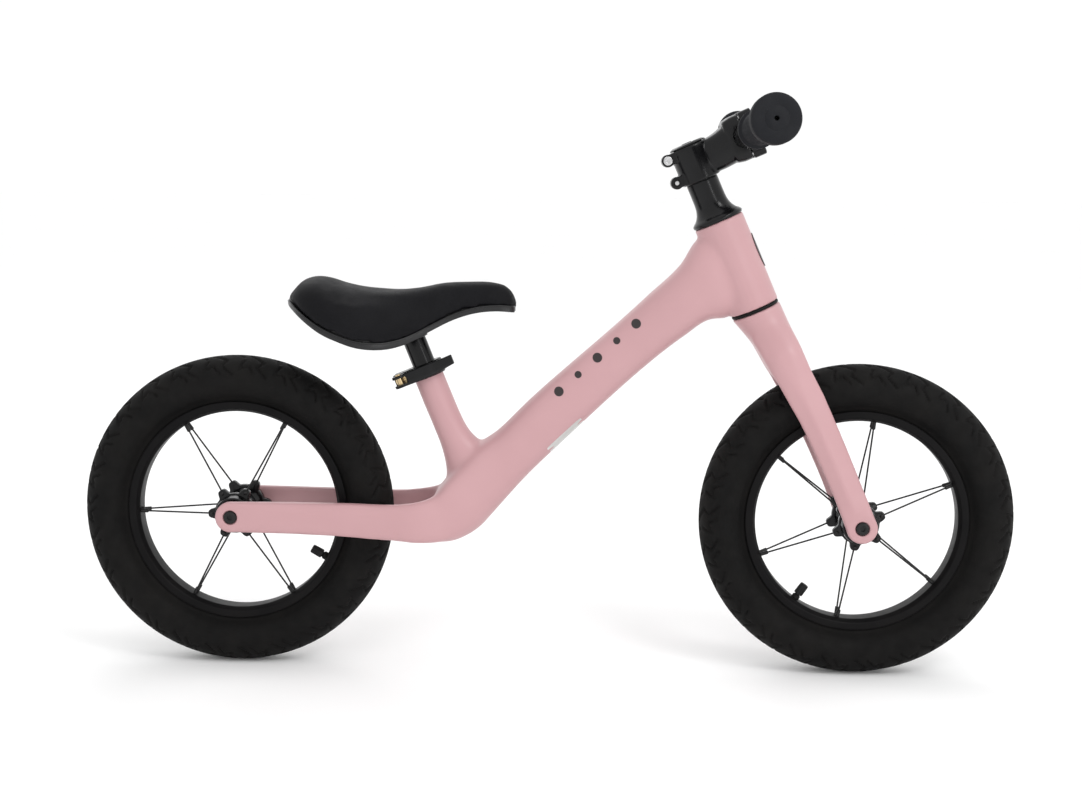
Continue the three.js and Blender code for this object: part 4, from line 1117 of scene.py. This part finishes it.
def flange(phase, side):
    """A disc with six lobes that hold the spoke heads, with eased edges."""
    angle = np.arange(180) * 2
    off = (angle - phase + 30) % 60 - 30
    lobe = 19.6 + 6.4 * np.exp(-((np.abs(off) / 12.5) ** 4))
    return skin([
        hoop(np.radians(angle), lobe - inset, side * depth)
        for depth, inset in ((18.5, 1.1), (18.8, 0.4), (19.6, 0), (24.4, 0), (25.2, 0.4), (25.5, 1.1))
    ])


def spoke_point(angle, side, radius):
    share = (radius - SPOKE_FOOT[0]) / (SPOKE_RIM[0] - SPOKE_FOOT[0])
    return polar(angle, radius, side * (SPOKE_FOOT[1] + (SPOKE_RIM[1] - SPOKE_FOOT[1]) * share))


def make_spokes(end, axes):
    nipple = [(1.3, -12.5), (1.75, -12.2), (1.85, -11.4), (1.85, -3), (2.3, -2.4), (2.4, 0.3), (1.6, 0.8)]
    dome = [(1.9, 0), (1.9, 0.4), (1.6, 0.9), (0.9, 1.2), (0.05, 1.3)]
    heads = []
    for k in range(SPOKES):
        angle = PHASES[end] + k * 360 / SPOKES
        name, wires, nipples = f"{end}_spokes_{k + 1}", [], []
        for side in (-1, 1):
            foot, rim = spoke_point(angle, side, 25.4), spoke_point(angle, side, SPOKE_RIM[0])
            run = unit(rim - foot)
            wires.append(rod(foot, rim - run * 8, 0.85, sides=14))
            nipples.append(turned(nipple, rim, run, 18))
            heads.append(turned(dome, polar(angle, 22.6, side * 25.45), (0, side, 0), 20))
        add_piece(name, wires + nipples, axes, "black_steel", [f"{end}_spoke_pair_{k + 1}"])
    add_piece(f"{end}_spoke_heads", heads, axes, "black_steel", [], 60, body=BODY_OF[f"{end}_hub_shell"])


def valve_cap(along):
    """A ribbed cap on the valve stem, with a bore that opens towards the rim."""
    across, turn, rings = np.cross(along, (0, 1, 0)), 2 * np.pi * np.arange(72) / 72, []
    for radius, distance, rib in (
        (3.3, 80.6, 0), (3.9, 80.9, 0), (4.15, 81.6, 0.15), (4.25, 86, 0.15), (4.35, 91.2, 0.15),
        (4.2, 92.2, 0), (3, 92.5, 0), (2.9, 83.4, 0),
    ):
        size = radius + rib * np.sign(np.cos(12 * turn))
        rim = np.outer(size * np.cos(turn), across) + np.outer(size * np.sin(turn), (0, 1, 0))
        rings.append(along * distance + rim)
    return skin(rings)


def make_wheel(end):
    axes = np.eye(4)
    axes[:3, 3] = HUBS[end]
    add_piece(f"{end}_tread", [tyre_shell()], axes, "tyre_rubber", [f"{end}_tyre"], 50)
    half = [(97.3, 8.2), (100.6, 13), (107.3, 13.1), (107.6, 11.5), (101.6, 10.9), (99.8, 7.8)]
    rim = turned(eased(both_sides(half), 0.9, steps=4), axis=(0, 1, 0), sides=180, loop=True)
    add_piece(f"{end}_hoop", [rim], axes, "rim_alloy", [f"{end}_rim"], 34)

    half = [(7, 27.7), (14, 27.7), (14, 35.7), (17, 35.7), (17.6, 30.5), (18.2, 25), (18.2, 21), (13.4, 13)]
    barrel = turned(eased(both_sides(half), 0.7, steps=3), axis=(0, 1, 0), sides=80, loop=True)
    shells = [barrel, flange(PHASES[end], -1), flange(PHASES[end], 1)]
    add_piece(f"{end}_hub", shells, axes, "black_alloy", [f"{end}_hub_shell"], 40)
    make_spokes(end, axes)

    along = polar(VALVES[end], 1, 0)
    stem = eased([(1.3, 84), (2.6, 84), (2.6, 93), (3.9, 94), (4.1, 113), (1.3, 113)], 0.4, steps=3)
    tube = [(127 + 16.2 * math.cos(a), 16.2 * math.sin(a)) for a in np.linspace(0, 2 * math.pi, 24, False)]
    stem = turned(stem, axis=along, sides=32, loop=True)
    tube = turned(tube, axis=(0, 1, 0), sides=96, loop=True)
    add_piece(f"{end}_tube", [stem, tube], axes, "tube_rubber", [f"{end}_inner_tube"], 50)
    add_piece(f"{end}_cap", [valve_cap(along)], axes, "cap_plastic", [f"{end}_valve_cap"], 30)
    for name, side in (("right", -1), ("left", 1)):
        bolt = hexed_bolt((0, side * 43.3, 0), (0, side, 0), 24, 2.7, 6.1, 3.3, 0.46, 0.9)
        add_piece(f"{end}_bolt_{name}", [bolt], axes, "black_steel", [f"{end}_axle_bolt_{name}"])


def dress_hidden_nodes():
    """The bearings, axles and other inner pieces keep their CAD shape."""
    for obj in frame["nodes"].values():
        if not obj.hide_render:
            obj.data.materials.clear()
            obj.data.materials.append(LOOKS["steel"])


# ---------------------------------------------------------------- the scene

add_camera()
LOOKS = make_looks()
add_studio()
casting = make_frame()
make_marks(casting)
make_fork()
make_headset()
make_stem()
make_bar()
for grip_side in (-1, 1):
    make_grip(grip_side)
make_clamp()
make_saddle()
for wheel_end in ("rear", "front"):
    make_wheel(wheel_end)
dress_hidden_nodes()
